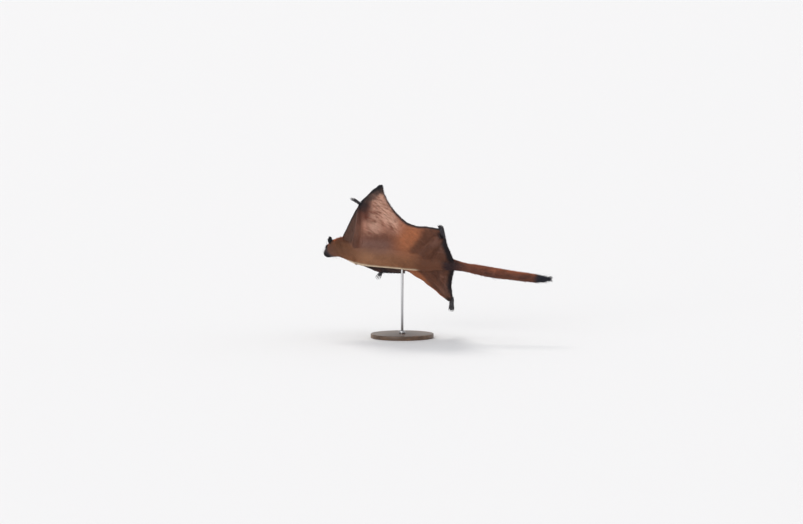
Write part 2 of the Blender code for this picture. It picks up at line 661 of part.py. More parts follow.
def make_stand(model, trunk_cutter):
    """A flat round base, a steel rod up to the belly, and the collar at the rod's foot."""
    bpy.ops.mesh.primitive_cylinder_add(
        vertices=36, radius=BASE_RADIUS * MM, depth=BASE_THICKNESS * MM,
        location=(0, 0, BASE_THICKNESS * MM / 2))
    base = bpy.context.object
    base.name = "stand_base"
    bevel = base.modifiers.new("rounded_edges", "BEVEL")
    bevel.width = BASE_BEVEL * MM
    bevel.segments = 1
    bevel.limit_method = "ANGLE"
    base.data.materials.append(model.wood)

    bottom = BASE_THICKNESS + GAP
    bpy.ops.mesh.primitive_cylinder_add(
        vertices=16, radius=ROD_RADIUS * MM, depth=(PIVOT_HEIGHT - bottom) * MM,
        location=(0, 0, (PIVOT_HEIGHT + bottom) / 2 * MM))
    rod = bpy.context.object
    rod.name = "stand_rod"
    rod.data.materials.append(model.steel)
    model.combine(rod, [trunk_cutter], "DIFFERENCE")

    profile = bpy.data.meshes.new("stand_collar")
    inner, outer, top = ROD_RADIUS + GAP, COLLAR_RADIUS, bottom + COLLAR_HEIGHT
    shoulder_radius, shoulder_height = outer - COLLAR_CHAMFER, top - COLLAR_CHAMFER
    outline = ((inner, top), (shoulder_radius, top), (outer, shoulder_height), (outer, bottom),
               (inner, bottom))
    ring = [(r * MM, 0.0, z * MM) for r, z in outline]
    profile.from_pydata(ring, [(i, (i + 1) % len(ring)) for i in range(len(ring))], [])
    collar = bpy.data.objects.new("stand_collar", profile)
    screw = collar.modifiers.new("turned", "SCREW")
    screw.steps = screw.render_steps = 16
    screw.use_merge_vertices = True
    screw.merge_threshold = 0.00001
    collar.data.materials.append(model.steel)
    model.parts.objects.link(collar)

    for obj in (base, rod):
        for owner in list(obj.users_collection):
            owner.objects.unlink(obj)
        model.parts.objects.link(obj)


def main():
    """Builds the whole part."""
    clear_scene()
    model = Model()
    body = make_body(model)
    body_cutters = {name: model.grown(obj) for name, obj in body.items()}
    for label, side in (("left", 1.0), ("right", -1.0)):
        make_side(model, label, side, body, body_cutters)
    make_stand(model, body_cutters["trunk"])


if __name__ == "__main__":
    main()
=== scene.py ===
"""The looks of a life-size giant flying squirrel in a banked glide on a plain display stand.

One skin replaces every solid of flesh. It lies inside them by the coat's depth and carries the
face, pads and folds. The coat grows on it as short solid tufts. Skin and tufts take their colours
from the same markings, with painted light and shade laid among them, which are worked out in the
animal's own straight frame: x to its left, y back from the nose tip, z towards its back, all in
metres, before it turns, bends and banks.
"""

import logging
import math
from collections.abc import Callable
from dataclasses import dataclass
from enum import Enum

import bmesh
import bpy
import numpy as np
from bpy.types import ID, Material, Mesh, NodeSocket, NodeTree, Object, ShaderNode, bpy_prop_collection
from mathutils import Euler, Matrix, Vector
from mathutils.kdtree import KDTree


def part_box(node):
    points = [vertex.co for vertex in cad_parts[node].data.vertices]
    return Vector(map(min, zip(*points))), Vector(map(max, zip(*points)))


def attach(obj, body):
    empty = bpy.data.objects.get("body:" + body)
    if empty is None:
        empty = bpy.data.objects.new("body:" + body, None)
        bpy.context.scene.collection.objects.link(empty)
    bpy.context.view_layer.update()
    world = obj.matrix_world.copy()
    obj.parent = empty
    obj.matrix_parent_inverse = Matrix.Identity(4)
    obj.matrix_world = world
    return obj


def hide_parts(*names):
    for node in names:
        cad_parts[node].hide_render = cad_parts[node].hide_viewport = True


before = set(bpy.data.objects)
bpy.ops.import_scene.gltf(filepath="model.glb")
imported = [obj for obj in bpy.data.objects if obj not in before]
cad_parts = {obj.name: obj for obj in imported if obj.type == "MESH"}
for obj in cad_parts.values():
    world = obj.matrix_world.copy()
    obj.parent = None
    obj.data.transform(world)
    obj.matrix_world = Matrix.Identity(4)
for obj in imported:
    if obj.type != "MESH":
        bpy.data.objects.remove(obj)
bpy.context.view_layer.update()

Array = np.ndarray
Paint = tuple[int, int, int]
Pair = tuple[float, float]
Triple = tuple[float, float, float]

MM = 0.001
SIDES = (("left", 1.0), ("right", -1.0))
LOG = logging.getLogger("flying_squirrel")


class Region(Enum):
    """The kinds of flesh that differ in coat and markings."""

    HEAD = 0
    EAR = 1
    NECK = 2
    TRUNK = 3
    TAIL = 4
    ARM = 5
    HAND = 6
    SPUR = 7
    LEG = 8
    FOOT = 9
    FRONT_WING = 10
    WING = 11
    REAR_WING = 12


NODE_REGIONS = {
    "head": Region.HEAD,
    "eye": Region.HEAD,
    "ear": Region.EAR,
    "neck": Region.NECK,
    "trunk": Region.TRUNK,
    "tail": Region.TAIL,
    "upper": Region.ARM,
    "forearm": Region.ARM,
    "hand": Region.HAND,
    "spur": Region.SPUR,
    "thigh": Region.LEG,
    "shank": Region.LEG,
    "foot": Region.FOOT,
    "propatagium": Region.FRONT_WING,
    "plagiopatagium": Region.WING,
    "uropatagium": Region.REAR_WING,
}


# The animal's own frame


def ease(value: Array, start: float, end: float) -> Array:
    """0 at start to 1 at end, easing in and out, in either direction.

    Args:
        value: What is compared with start and end.
        start: Where the result is 0.
        end: Where the result is 1.

    Returns:
        The eased share at each value.
    """
    share = np.clip((np.asarray(value) - start) / (end - start), 0.0, 1.0)
    return share * share * (3.0 - 2.0 * share)


def bump_at(value: Array, middle: float, reach: float) -> Array:
    """A soft hump, 1 at the middle and falling away over the reach."""
    return np.exp(-(((np.asarray(value) - middle) / reach) ** 2))


def unit(vectors: Array) -> Array:
    """The vectors at length 1."""
    vectors = np.asarray(vectors, float)
    return vectors / np.maximum(np.linalg.norm(vectors, axis=-1, keepdims=True), 1e-12)


def turned(axis: int, degrees: float) -> Array:
    """Rotation matrix about one of the axes 0, 1 and 2.

    Args:
        axis: The axis's number.
        degrees: The angle, by the right hand.

    Returns:
        A 3 by 3 matrix.
    """
    angle = math.radians(degrees)
    matrix = np.eye(3)
    b, c = (axis + 1) % 3, (axis + 2) % 3
    matrix[b, b] = matrix[c, c] = math.cos(angle)
    matrix[b, c] = -math.sin(angle)
    matrix[c, b] = math.sin(angle)
    return matrix


@dataclass(frozen=True)
class GlidePose:
    """The pose of the solids: the same turns, bend, bank and pitch."""

    bank: float = 44.4
    pitch: float = 5.7
    pivot_place: float = 0.257
    pivot: Triple = (0.0086, -0.0346, 0.292)
    bend: float = 6.7
    bend_front: float = 0.157
    bend_rear: float = 0.407
    head_turn: float = 28.0
    head_drop: float = 2.0
    head_roll: float = 16.0
    neck_reach: Triple = (0.006, -0.022, 0.0)
    neck_pivot: Triple = (0.0, 0.084, 0.028)
    turn_full: float = 0.062
    turn_none: float = 0.122
    head_steps: int = 32
    rounds: int = 6
    small_step: float = 0.0005

    def matrix(self) -> Array:
        """The bank and pitch as a rotation matrix."""
        angles = (math.radians(-self.pitch), math.radians(-self.bank), 0.0)
        return np.array(Euler(angles, "YXZ").to_matrix())

    def head_share(self, place: Array) -> Array:
        """How much of the head's turn a place along the body has."""
        return ease(place, self.turn_none, self.turn_full)

    def head_moves(self, share: Array) -> tuple[Array, Array]:
        """The head's rotation and shift at each share of its turn.

        Args:
            share: Shares of the turn, one for each point.

        Returns:
            Rotation matrices and shifts, one for each point.
        """
        turns = np.array([
            turned(2, -self.head_turn * part) @ turned(0, self.head_drop * part)
            @ turned(1, self.head_roll * part)
            for part in np.linspace(0.0, 1.0, self.head_steps + 1)
        ])
        nearest = np.clip(np.round(share * self.head_steps).astype(int), 0, self.head_steps)
        return turns[nearest], share[:, None] * np.array(self.neck_reach)

    def posed(self, points: Array, on_head: Array | bool) -> Array:
        """Points of the straight frame, in the world.

        Args:
            points: Points in the straight frame.
            on_head: True where a point turns with head and neck.

        Returns:
            The same points in the world.
        """
        points = np.array(points, float)
        share = self.head_share(points[:, 1]) * on_head
        turns, shifts = self.head_moves(share)
        pivot = np.array(self.neck_pivot)
        points = pivot + np.einsum("nij,nj->ni", turns, points - pivot) + shifts
        bend = math.radians(self.bend)
        radius = (self.bend_rear - self.bend_front) / bend
        angle = bend * np.clip(
            (self.bend_rear - points[:, 1]) / (self.bend_rear - self.bend_front), 0.0, 1.0)
        ahead = np.maximum(self.bend_front - points[:, 1], 0.0)
        behind = np.maximum(points[:, 1] - self.bend_rear, 0.0)
        across = points[:, 0].copy()
        cos, sin = np.cos(angle), np.sin(angle)
        points[:, 0] = -radius * (1 - cos) - ahead * sin + across * cos
        points[:, 1] = self.bend_rear - radius * sin - ahead * cos - across * sin + behind
        points[:, 1] -= self.pivot_place
        return points @ self.matrix().T + np.array(self.pivot)

    def straight(self, points: Array, on_head: Array | bool) -> Array:
        """Points of the world, in the straight frame.

        Args:
            points: Points in the world.
            on_head: True where a point turns with head and neck.

        Returns:
            The same points in the straight frame.
        """
        local = (np.asarray(points, float) - np.array(self.pivot)) @ self.matrix()
        local[:, 1] += self.pivot_place
        bend = math.radians(self.bend)
        radius = (self.bend_rear - self.bend_front) / bend
        out, back = local[:, 0] + radius, local[:, 1] - self.bend_rear
        angle = np.arctan2(-back, out)
        made = local.copy()
        inside = (angle > 0) & (angle < bend)
        made[inside, 0] = np.hypot(out, back)[inside] - radius
        made[inside, 1] = self.bend_rear - (self.bend_rear - self.bend_front) * angle[inside] / bend
        front = angle >= bend
        beside = local[:, 0] + radius * (1 - math.cos(bend))
        beyond = back + radius * math.sin(bend)
        made[front, 0] = (beside * math.cos(bend) - beyond * math.sin(bend))[front]
        made[front, 1] = (self.bend_front + beside * math.sin(bend) + beyond * math.cos(bend))[front]
        pivot = np.array(self.neck_pivot)
        on_head = np.broadcast_to(on_head, len(made))
        bent = made[on_head]
        guess = bent.copy()
        for _ in range(self.rounds):
            turns, shifts = self.head_moves(self.head_share(guess[:, 1]))
            guess = pivot + np.einsum("nji,nj->ni", turns, bent - shifts - pivot)
        made[on_head] = guess
        return made

    def directions(self, points: Array, ways: Array, on_head: Array | bool) -> Array:
        """Directions of the straight frame, in the world.

        Args:
            points: Points in the straight frame, where the directions are wanted.
            ways: One direction for each point, or one for them all.
            on_head: True where a point turns with head and neck.

        Returns:
            The directions in the world.
        """
        ahead = self.posed(points + unit(ways) * self.small_step, on_head)
        return unit(ahead - self.posed(points, on_head))


POSE = GlidePose()
HEAD_REGIONS = (Region.HEAD.value, Region.EAR.value, Region.NECK.value)
WINGS = (Region.WING, Region.FRONT_WING, Region.REAR_WING)


def in_regions(regions: Array, *kinds: Region) -> Array:
    """True where the region is one of these kinds."""
    return np.isin(regions, [kind.value for kind in kinds])


@dataclass(frozen=True)
class Landmarks:
    """Places on the straight animal, left side, that markings and coat are measured from."""

    shoulder: Triple = (0.020, 0.122, 0.000)
    elbow: Triple = (0.107, 0.144, 0.038)
    wrist: Triple = (0.189, 0.157, 0.081)
    spur_tip: Triple = (0.237, 0.236, 0.128)
    hand_tip: Triple = (0.232, 0.129, 0.075)
    hip: Triple = (0.020, 0.377, -0.002)
    ankle: Triple = (0.178, 0.459, -0.024)
    toe_tip: Triple = (0.257, 0.457, -0.026)
    free_edge: tuple[Pair, ...] = (
        (0.237, 0.236), (0.203, 0.243), (0.167, 0.267), (0.147, 0.308),
        (0.161, 0.357), (0.181, 0.406), (0.199, 0.451))
    leading_edge: tuple[Pair, ...] = (
        (0.024, 0.054), (0.066, 0.079), (0.128, 0.115), (0.190, 0.153))
    rear_edge: tuple[Pair, ...] = (
        (0.009, 0.489), (0.060, 0.478), (0.115, 0.470), (0.170, 0.472))
    tail_axis: float = -0.0178
    hair_end: float = 0.849


LAND = Landmarks()


def distance_to_line(
    across: Array, place: Array, keys: tuple[tuple[float, ...], ...],
) -> Array:
    """Least distance in the spread plane to a line of straight pieces.

    Args:
        across: Distance out from the midline, always positive.
        place: Distance back from the nose tip.
        keys: The line's corners, of which only the first two numbers count.

    Returns:
        The distance of each point.
    """
    points = np.stack([across, place], axis=1)
    corners = np.array([key[:2] for key in keys])
    best = np.full(len(points), np.inf)
    for a, b in zip(corners[:-1], corners[1:]):
        along = np.clip((points - a) @ (b - a) / ((b - a) @ (b - a)), 0.0, 1.0)
        best = np.minimum(best, np.linalg.norm(points - a - along[:, None] * (b - a), axis=1))
    return best


def along_folds(out: Array, place: Array) -> tuple[Array, Array]:
    """Distances along and across the wings' folds, which run back and inward."""
    return -0.5 * out + 0.866 * place, 0.866 * out + 0.5 * place


class FreeEdges:
    """The wings' free edges, as lines measured on the skin."""

    step: float = 0.006
    first: float = 0.242
    last: float = 0.450
    least_out: float = 0.10

    def __init__(self) -> None:
        """Starts with the same line on both sides."""
        self.lines = {1: LAND.free_edge, -1: LAND.free_edge}

    def measure(self, places: Array, regions: Array) -> None:
        """Finds how far out each wing reaches at each place along the body.

        Args:
            places: Points in the straight frame.
            regions: Each point's region number.
        """
        wing = in_regions(regions, Region.WING)
        for side in self.lines:
            out, place = places[wing, 0] * side, places[wing, 1]
            line = [LAND.free_edge[0]]
            for middle in np.arange(self.first, self.last, self.step):
                near = np.abs(place - middle) < self.step / 2
                if near.any() and out[near].max() > self.least_out:
                    line.append((float(out[near].max()), float(middle)))
            self.lines[side] = tuple(line)

    def distance(self, places: Array) -> Array:
        """Each point's distance in the spread plane to its own side's free edge.

        Args:
            places: Points in the straight frame.

        Returns:
            The distances.
        """
        out, place = np.abs(places[:, 0]), places[:, 1]
        left, right = (distance_to_line(out, place, self.lines[side]) for side in (1, -1))
        return np.where(places[:, 0] >= 0, left, right)


EDGES = FreeEdges()


def lattice_noise(points: Array, seed: int) -> Array:
    """Smooth noise from 0 to 1, with features about 1 unit across.

    Args:
        points: Places, already divided by the size of a feature along each axis.
        seed: Which of the many patterns.

    Returns:
        The noise at each place.
    """
    cell = np.floor(points).astype(np.int64)
    inside = points - cell
    inside = inside * inside * (3.0 - 2.0 * inside)
    total = np.zeros(len(points))
    for corner in np.ndindex(2, 2, 2):
        at = cell + np.array(corner)
        key = (at[:, 0] * 73856093) ^ (at[:, 1] * 19349663) ^ (at[:, 2] * 83492791) ^ (seed * 2654435761)
        key = (key ^ (key >> 13)) * 1274126177 & 0x7FFFFFFF
        value = ((key ^ (key >> 16)) & 0xFFFF) / 65535.0
        weight = np.prod(np.where(np.array(corner) == 1, inside, 1.0 - inside), axis=1)
        total += value * weight
    return total


# Markings, and painted light and shade


def tone(red: int, green: int, blue: int) -> Array:
    """A colour named by its display values, as linear light."""
    value = np.array((red, green, blue)) / 255.0
    return np.where(value <= 0.04045, value / 12.92, ((value + 0.055) / 1.055) ** 2.4)


@dataclass(frozen=True)
class Palette:
    """Every colour of the coat and bare skin, by its display values."""

    rust: Paint = (166, 84, 48)
    rust_bright: Paint = (196, 108, 64)
    rust_dark: Paint = (104, 50, 32)
    belly: Paint = (146, 98, 70)
    belly_pale: Paint = (176, 128, 96)
    belly_grey: Paint = (150, 112, 100)
    throat: Paint = (130, 88, 64)
    cream: Paint = (240, 218, 190)
    cheek: Paint = (132, 92, 74)
    wing_pink: Paint = (188, 132, 110)
    wing_light: Paint = (236, 190, 168)
    wing_brown: Paint = (134, 86, 68)
    wing_red: Paint = (108, 54, 40)
    wing_orange: Paint = (212, 136, 94)
    front_brown: Paint = (104, 74, 62)
    charcoal: Paint = (74, 56, 52)
    black: Paint = (30, 28, 34)
    thigh: Paint = (118, 76, 58)
    rear_light: Paint = (148, 108, 94)
    tail_root: Paint = (62, 44, 46)
    tail_brown: Paint = (122, 76, 60)
    tail_tip: Paint = (46, 46, 56)
    tail_rust: Paint = (186, 108, 74)
    muzzle: Paint = (50, 42, 46)
    chin: Paint = (86, 76, 84)
    bare_pad: Paint = (78, 70, 76)
    bare_ear: Paint = (104, 70, 64)
    nose: Paint = (30, 26, 28)


PAINT = Palette()


@dataclass
class Spots:
    """Spots on the skin. Every field has one row for each spot."""

    point: Array
    normal: Array
    place: Array
    back: Array
    inner: Array
    join: Array
    regions: Array
    soft_colour: Array | None = None

    def kept(self, keep: Array) -> "Spots":
        """Only the spots to keep."""
        return Spots(**{name: values[keep] for name, values in vars(self).items()})


class Markings:
    """The colours of skin and coat: the animal's markings, and some painted light and shade. Bare numbers
    are places and reaches on the straight animal.
    """

    def __init__(self, spots: Spots) -> None:
        """Takes down the spots to colour.

        Args:
            spots: Spots on the skin, which need no soft colour yet.
        """
        places, regions = spots.place, spots.regions
        self.places, self.regions, self.inner = places, regions, spots.inner
        self.out, self.place, self.height = np.abs(places[:, 0]), places[:, 1], places[:, 2]
        self.upper = ease(spots.back, -0.15, 0.35)
        self.below = 1.0 - self.upper
        self.wing, self.front, self.rear, self.arm = (
            in_regions(regions, kind)
            for kind in (Region.WING, Region.FRONT_WING, Region.REAR_WING, Region.ARM))
        self.cloudy = lattice_noise(places / 0.030, 3)
        self.colour = np.tile(tone(*PAINT.rust), (len(places), 1))

    def lay(self, paint: Paint, share: Array) -> None:
        """Lays a paint over what is there, as thick as the share says."""
        share = np.clip(share, 0.0, 1.0)[:, None]
        self.colour = self.colour * (1.0 - share) + tone(*paint) * share

    def painted(self) -> Array:
        """Lays every marking in order.

        Returns:
            One colour in linear light for each point.
        """
        self._trunk()
        self._wings()
        self._front()
        self._behind()
        self._margins()
        self._limbs()
        self._tail()
        self._head()
        fine = lattice_noise(self.places / 0.007, 5)
        shade = 0.84 + 0.32 * (0.55 * self.cloudy + 0.45 * fine)
        return self.colour * shade[:, None]

    def _trunk(self) -> None:
        """Rust above with dark tips, tan-brown below, an orange painted highlight over the rear belly, and
        on the right flank a cream line of painted rim light with painted shade past it.
        """
        out, place = self.out, self.place
        flesh = in_regions(self.regions, Region.TRUNK, Region.NECK, Region.HEAD)
        lower = self.below * flesh
        self.lay(PAINT.rust_dark, flesh * self.upper * ease(out, 0.030, 0.004) * 0.45)
        self.lay(PAINT.rust_bright, flesh * self.upper * ease(place, 0.190, 0.080) * 0.5)
        self.lay(PAINT.belly, lower)
        self.lay(PAINT.belly_pale, lower * bump_at(place, 0.175, 0.050) * (0.4 + 0.5 * self.cloudy))
        self.lay(PAINT.belly_pale, lower * bump_at(place, 0.250, 0.060) * (0.1 + 0.4 * self.cloudy))
        self.lay(PAINT.belly_grey, lower * ease(out, 0.026, 0.042) * bump_at(place, 0.210, 0.080) * 0.8)
        self.lay(PAINT.throat, lower * ease(place, 0.150, 0.080) * 0.8)
        # glow: painted highlight, orange light on the rear belly in front of the thighs.
        glow = bump_at(place, 0.318, 0.050) * ease(out, 0.012, 0.045)
        self.lay(PAINT.wing_orange, lower * glow * 0.45)
        self.lay(PAINT.thigh, lower * ease(place, 0.320, 0.380) * 0.8)
        # The cream line lies on the right flank only, where round_body is positive: painted rim light where
        # light from behind comes past the body.
        round_body = np.degrees(np.arctan2(-self.places[:, 0], -self.height))
        line = 24.0 + 14.0 * ease(place, 0.110, 0.210)
        flank = bump_at(round_body, line, 12.0) * ease(place, 0.085, 0.112) * ease(place, 0.362, 0.330)
        # beyond: painted shade in dark rust on the right side, past the painted rim light.
        beyond = ease(round_body, line + 10.0, line + 20.0) * ease(round_body, 150.0, 110.0)
        beyond = flesh * beyond * ease(place, 0.080, 0.110) * ease(place, 0.300, 0.260)
        self.lay(PAINT.rust_dark, beyond * 0.7)
        # Painted rim light: the cream line on the right flank.
        self.lay(PAINT.cream, flesh * np.clip(1.3 * flank, 0.0, 1.0))
        self.lay(PAINT.tail_root, flesh * ease(place, 0.425, 0.455) * (0.85 - 0.70 * self.upper))

    def _streaks(self, along: float, across: float, seed: int) -> Array:
        """Noise drawn out back and inward over the wings.

        Args:
            along: A streak's length.
            across: Its width.
            seed: Which pattern.

        Returns:
            The noise at each point.
        """
        lengthwise, sideways = along_folds(self.out, self.place)
        side = np.where(self.places[:, 0] >= 0, 1.0, -1.0)
        return lattice_noise(np.stack([lengthwise / along, sideways / across, side * 0.3], axis=1), seed)

    def _wings(self) -> None:
        """The wings below: pinkish brown with short pale streaks, and an orange painted highlight along the
        ridge in front of the thigh.
        """
        out, place = self.out, self.place
        below = self.wing * self.below
        streak = self._streaks(0.014, 0.0028, 11)
        patch = self._streaks(0.034, 0.014, 12)
        arm = distance_to_line(out, place, (LAND.elbow, LAND.wrist))
        self.lay(PAINT.wing_brown, below)
        tip = ease(place, 0.345, 0.285) * ease(out, 0.070, 0.110)
        self.lay(PAINT.wing_pink, below * tip * (0.55 + 0.45 * patch))
        by_edge = bump_at(EDGES.distance(self.places), 0.028, 0.026) * ease(place, 0.305, 0.262)
        light = np.maximum(by_edge, bump_at(arm, 0.054, 0.027) * 0.88) * tip
        self.lay(PAINT.wing_light, below * light * ease(0.55 * streak + 0.45 * patch, 0.26, 0.60))
        self.lay(PAINT.wing_red, below * ease(0.6 * streak + 0.4 * patch, 0.42, 0.22) * 0.5 * tip)
        dark = bump_at(arm, 0.021, 0.019) * ease(out, 0.118, 0.146)
        self.lay(PAINT.wing_red, below * dark * (0.30 + 0.62 * ease(patch, 0.15, 0.50)))
        grey = bump_at(out, 0.054, 0.017) * ease(place, 0.290, 0.230)
        self.lay(PAINT.belly_grey, below * grey * 0.8)
        # Painted highlight: an orange band of light along the ridge in front of the thigh.
        lean = 0.75 * (place - 0.330)
        fold_highlight = bump_at(out - 0.098 - lean, 0.0, 0.056) * bump_at(place, 0.330, 0.050)
        self.lay(PAINT.wing_orange, below * np.clip(1.35 * fold_highlight, 0.0, 1.0) * 0.82)
        behind = ease(place - 0.55 * (out - 0.105), 0.340, 0.372)
        self.lay(PAINT.thigh, below * behind * 0.9)

    def _front(self) -> None:
        """Grey-brown below in front of the arm, which fades into the wing behind it, and painted shade,
        charcoal to black, under the right arm and the front of the right wing.
        """
        out, place, below = self.out, self.place, self.below
        marks = (LAND.shoulder, LAND.elbow, LAND.wrist)
        arm_place = np.interp(out, [mark[0] for mark in marks], [mark[1] for mark in marks])
        ahead = ease(place - arm_place, 0.024, -0.010)
        front = self.front | self.arm
        whole = front | self.wing
        self.lay(PAINT.wing_brown, front * below)
        self.lay(PAINT.wing_pink, self.arm * below * ease(out, 0.060, 0.100) * 0.42)
        self.lay(PAINT.front_brown, whole * below * ahead * (0.95 - 0.35 * self.arm))
        self.lay(PAINT.charcoal, front * below * ahead * ease(out, 0.110, 0.175))
        # shaded: painted shade on the right side's arm and wing undersides, ahead of the middle of the wing.
        shaded = (self.places[:, 0] < 0) * ease(place, 0.300, 0.240)
        self.lay(PAINT.charcoal, whole * below * shaded * 0.85)
        self.lay(PAINT.black, whole * below * shaded * 0.35)

    def _behind(self) -> None:
        """The membranes behind the legs, and all the membranes above."""
        rear = self.rear * self.below
        streak = self._streaks(0.014, 0.0028, 11)
        self.lay(PAINT.thigh, rear)
        self.lay(PAINT.rear_light, rear * bump_at(self.out, 0.110, 0.050) * ease(streak, 0.3, 0.65) * 0.9)
        above = (self.wing | self.front | self.rear) * self.upper
        self.lay(PAINT.rust, above)
        self.lay(PAINT.rust_dark, above * (0.25 + 0.45 * self.cloudy) * ease(self.out, 0.060, 0.140))

    def _margins(self) -> None:
        """Near-black margins of the membranes, wider behind, and dark wrists, tips and ankles. On the right
        wing's free edge behind the spur, painted rim light in bright rust takes the black's place.
        """
        out, place, wing = self.out, self.place, self.wing
        free = EDGES.distance(self.places)
        lead = distance_to_line(out, place, LAND.leading_edge)
        back_edge = distance_to_line(out, place, LAND.rear_edge)
        # lit: painted rim light along the right wing's free edge, which thins the black margin there and
        # lays bright rust.
        lit = (self.places[:, 0] < 0) * ease(place, 0.285, 0.315) * ease(place, 0.440, 0.425)
        self.lay(PAINT.black, wing * ease(free, 0.0095, 0.0035) * (0.95 - 0.65 * lit))
        self.lay(PAINT.rust_bright, wing * lit * ease(free, 0.0080, 0.0045))
        self.lay(PAINT.black, self.front * ease(lead, 0.0085, 0.0030) * ease(out, 0.030, 0.060) * 0.95)
        self.lay(PAINT.black, self.rear * ease(back_edge, 0.032, 0.015) * 0.96)
        spur_line = distance_to_line(out, place, (LAND.wrist, LAND.spur_tip))
        self.lay(PAINT.black, wing * ease(spur_line, 0.017, 0.006) * 0.95)
        for mark, kinds, none, full, most in (
            (LAND.wrist, wing | self.front, 0.042, 0.016, 0.94),
            (LAND.spur_tip, wing, 0.027, 0.014, 0.92),
            (LAND.ankle, wing | self.rear, 0.026, 0.012, 0.90),
        ):
            away = np.hypot(out - mark[0], place - mark[1])
            self.lay(PAINT.black, kinds * ease(away, none, full) * most)

    def _limbs(self) -> None:
        """Arms and legs darken to near-black hands and feet."""
        out, arm, upper, below = self.out, self.arm, self.upper, self.below
        leg = in_regions(self.regions, Region.LEG)
        self.lay(PAINT.rust, arm * upper)
        self.lay(PAINT.rust_dark, arm * upper * 0.5)
        self.lay(PAINT.wing_red, arm * below * bump_at(out, 0.150, 0.026) * 0.5)
        self.lay(PAINT.black, arm * ease(out, 0.156, 0.184))
        self.lay(PAINT.thigh, leg * below)
        self.lay(PAINT.rear_light, leg * below * bump_at(out, 0.130, 0.026) * 0.5)
        self.lay(PAINT.rust_dark, leg * upper * 0.4)
        self.lay(PAINT.black, leg * ease(out, 0.150, 0.176) * 0.95)
        self.lay(PAINT.black, in_regions(self.regions, Region.HAND, Region.FOOT, Region.SPUR) * 1.0)
        sole = in_regions(self.regions, Region.HAND, Region.FOOT) * ease(upper, 0.30, 0.05)
        self.lay(PAINT.bare_pad, sole * 0.22)

    def _tail(self) -> None:
        """Dark at the root, brown with rust above and at the sides, blue-black at the tip."""
        place, upper = self.place, self.upper
        tail = in_regions(self.regions, Region.TAIL)
        self.lay(PAINT.tail_brown, tail * 1.0)
        self.lay(PAINT.tail_rust, tail * upper * (0.45 + 0.45 * ease(place, 0.52, 0.62)))
        flank = ease(self.out, 0.006, 0.012) * self.below
        self.lay(PAINT.tail_rust, tail * flank * ease(place, 0.50, 0.58) * 0.85)
        mottle = lattice_noise(self.places / np.array((0.010, 0.022, 0.010)), 21)
        self.lay(PAINT.tail_root, tail * ease(mottle, 0.5, 0.8) * 0.35)
        self.lay(PAINT.tail_root, tail * ease(place, 0.530, 0.470) * (1.0 - 0.75 * upper))
        self.lay(PAINT.tail_tip, tail * ease(place + 0.010 * mottle, 0.762, 0.784))

    def _head(self) -> None:
        """Dark muzzle, nose bridge, chin, ears and eye rings, brown cheeks and a rust crown."""
        out, place, height = self.out, self.place, self.height
        head = in_regions(self.regions, Region.HEAD)
        self.lay(PAINT.cheek, head * ease(self.upper, 0.9, 0.4) * ease(place, 0.085, 0.050))
        self.lay(PAINT.chin, self.below * head * ease(place, 0.044, 0.030) * 0.85)
        self.lay(PAINT.muzzle, head * ease(place, 0.029, 0.015) * 0.95)
        bridge = ease(place, 0.046, 0.026) * ease(height, 0.030, 0.040) * ease(out, 0.019, 0.011)
        self.lay(PAINT.muzzle, head * bridge * 0.7)
        self.lay(PAINT.black, head * ease(place, 0.036, 0.024) * ease(height, 0.022, 0.012) * 0.8)
        eye = np.sqrt((out - 0.0235) ** 2 + (place - 0.0295) ** 2 + (height - 0.041) ** 2)
        self.lay(PAINT.black, head * ease(eye, 0.0155, 0.0110) * 0.92)
        mouth = ease(np.abs(height - mouth_height(place)), 0.0016, 0.0008)
        self.lay(PAINT.nose, head * mouth * ease(place, 0.0290, 0.0230) * 0.9)
        self.lay(PAINT.nose, head * ease(place, 0.0062, 0.0045) * ease(height, 0.0165, 0.0185))
        ear = in_regions(self.regions, Region.EAR)
        self.lay(PAINT.black, ear * 1.0)
        self.lay(PAINT.bare_ear, ear * ease(self.inner, 0.35, 0.75) * 0.38)


def mouth_height(place: Array) -> Array:
    """Height of the mouth's line at a place behind the nose tip."""
    return 0.0150 + 0.10 * (place - 0.006)


# Mesh helpers


def deselect_all() -> None:
    """Leaves nothing selected."""
    bpy.ops.object.select_all(action="DESELECT")


def make_active(obj: Object) -> None:
    """Selects only this object and makes it the active one.

    Args:
        obj: The object.
    """
    deselect_all()
    obj.select_set(True)
    bpy.context.view_layer.objects.active = obj


def modify(obj: Object, kind: str, **values: object) -> None:
    """Adds a modifier to the object and applies it.

    Args:
        obj: The object.
        kind: The modifier's type.
        values: What its settings are set to.
    """
    modifier = obj.modifiers.new(kind, kind)
    for setting, value in values.items():
        setattr(modifier, setting, value)
    make_active(obj)
    bpy.ops.object.modifier_apply(modifier=modifier.name)


def edit_all(obj: Object, operator: Callable, **values: object) -> None:
    """Runs a mesh operator on everything in the object.

    Args:
        obj: The object.
        operator: The operator.
        values: Its settings.
    """
    make_active(obj)
    bpy.ops.object.mode_set(mode="EDIT")
    bpy.ops.mesh.select_all(action="SELECT")
    operator(**values)
    bpy.ops.object.mode_set(mode="OBJECT")


def settle(obj: Object) -> None:
    """Moves the object's place, turn and scale into its mesh."""
    make_active(obj)
    bpy.ops.object.transform_apply(location=True, rotation=True, scale=True)


def named(obj: Object, name: str) -> Object:
    """The object, with this name on it and on its mesh."""
    obj.name = obj.data.name = name
    return obj


def new_object(name: str, data: ID) -> Object:
    """A new object with this data, linked to the scene."""
    obj = bpy.data.objects.new(name, data)
    bpy.context.scene.collection.objects.link(obj)
    return obj


def look_along(obj: Object, way: Array | Vector, axis: str = "-Z") -> None:
    """Turns the object so that this axis of its own runs this way, with its Y axis upward."""
    obj.rotation_mode = "QUATERNION"
    obj.rotation_quaternion = Vector(way).to_track_quat(axis, "Y")


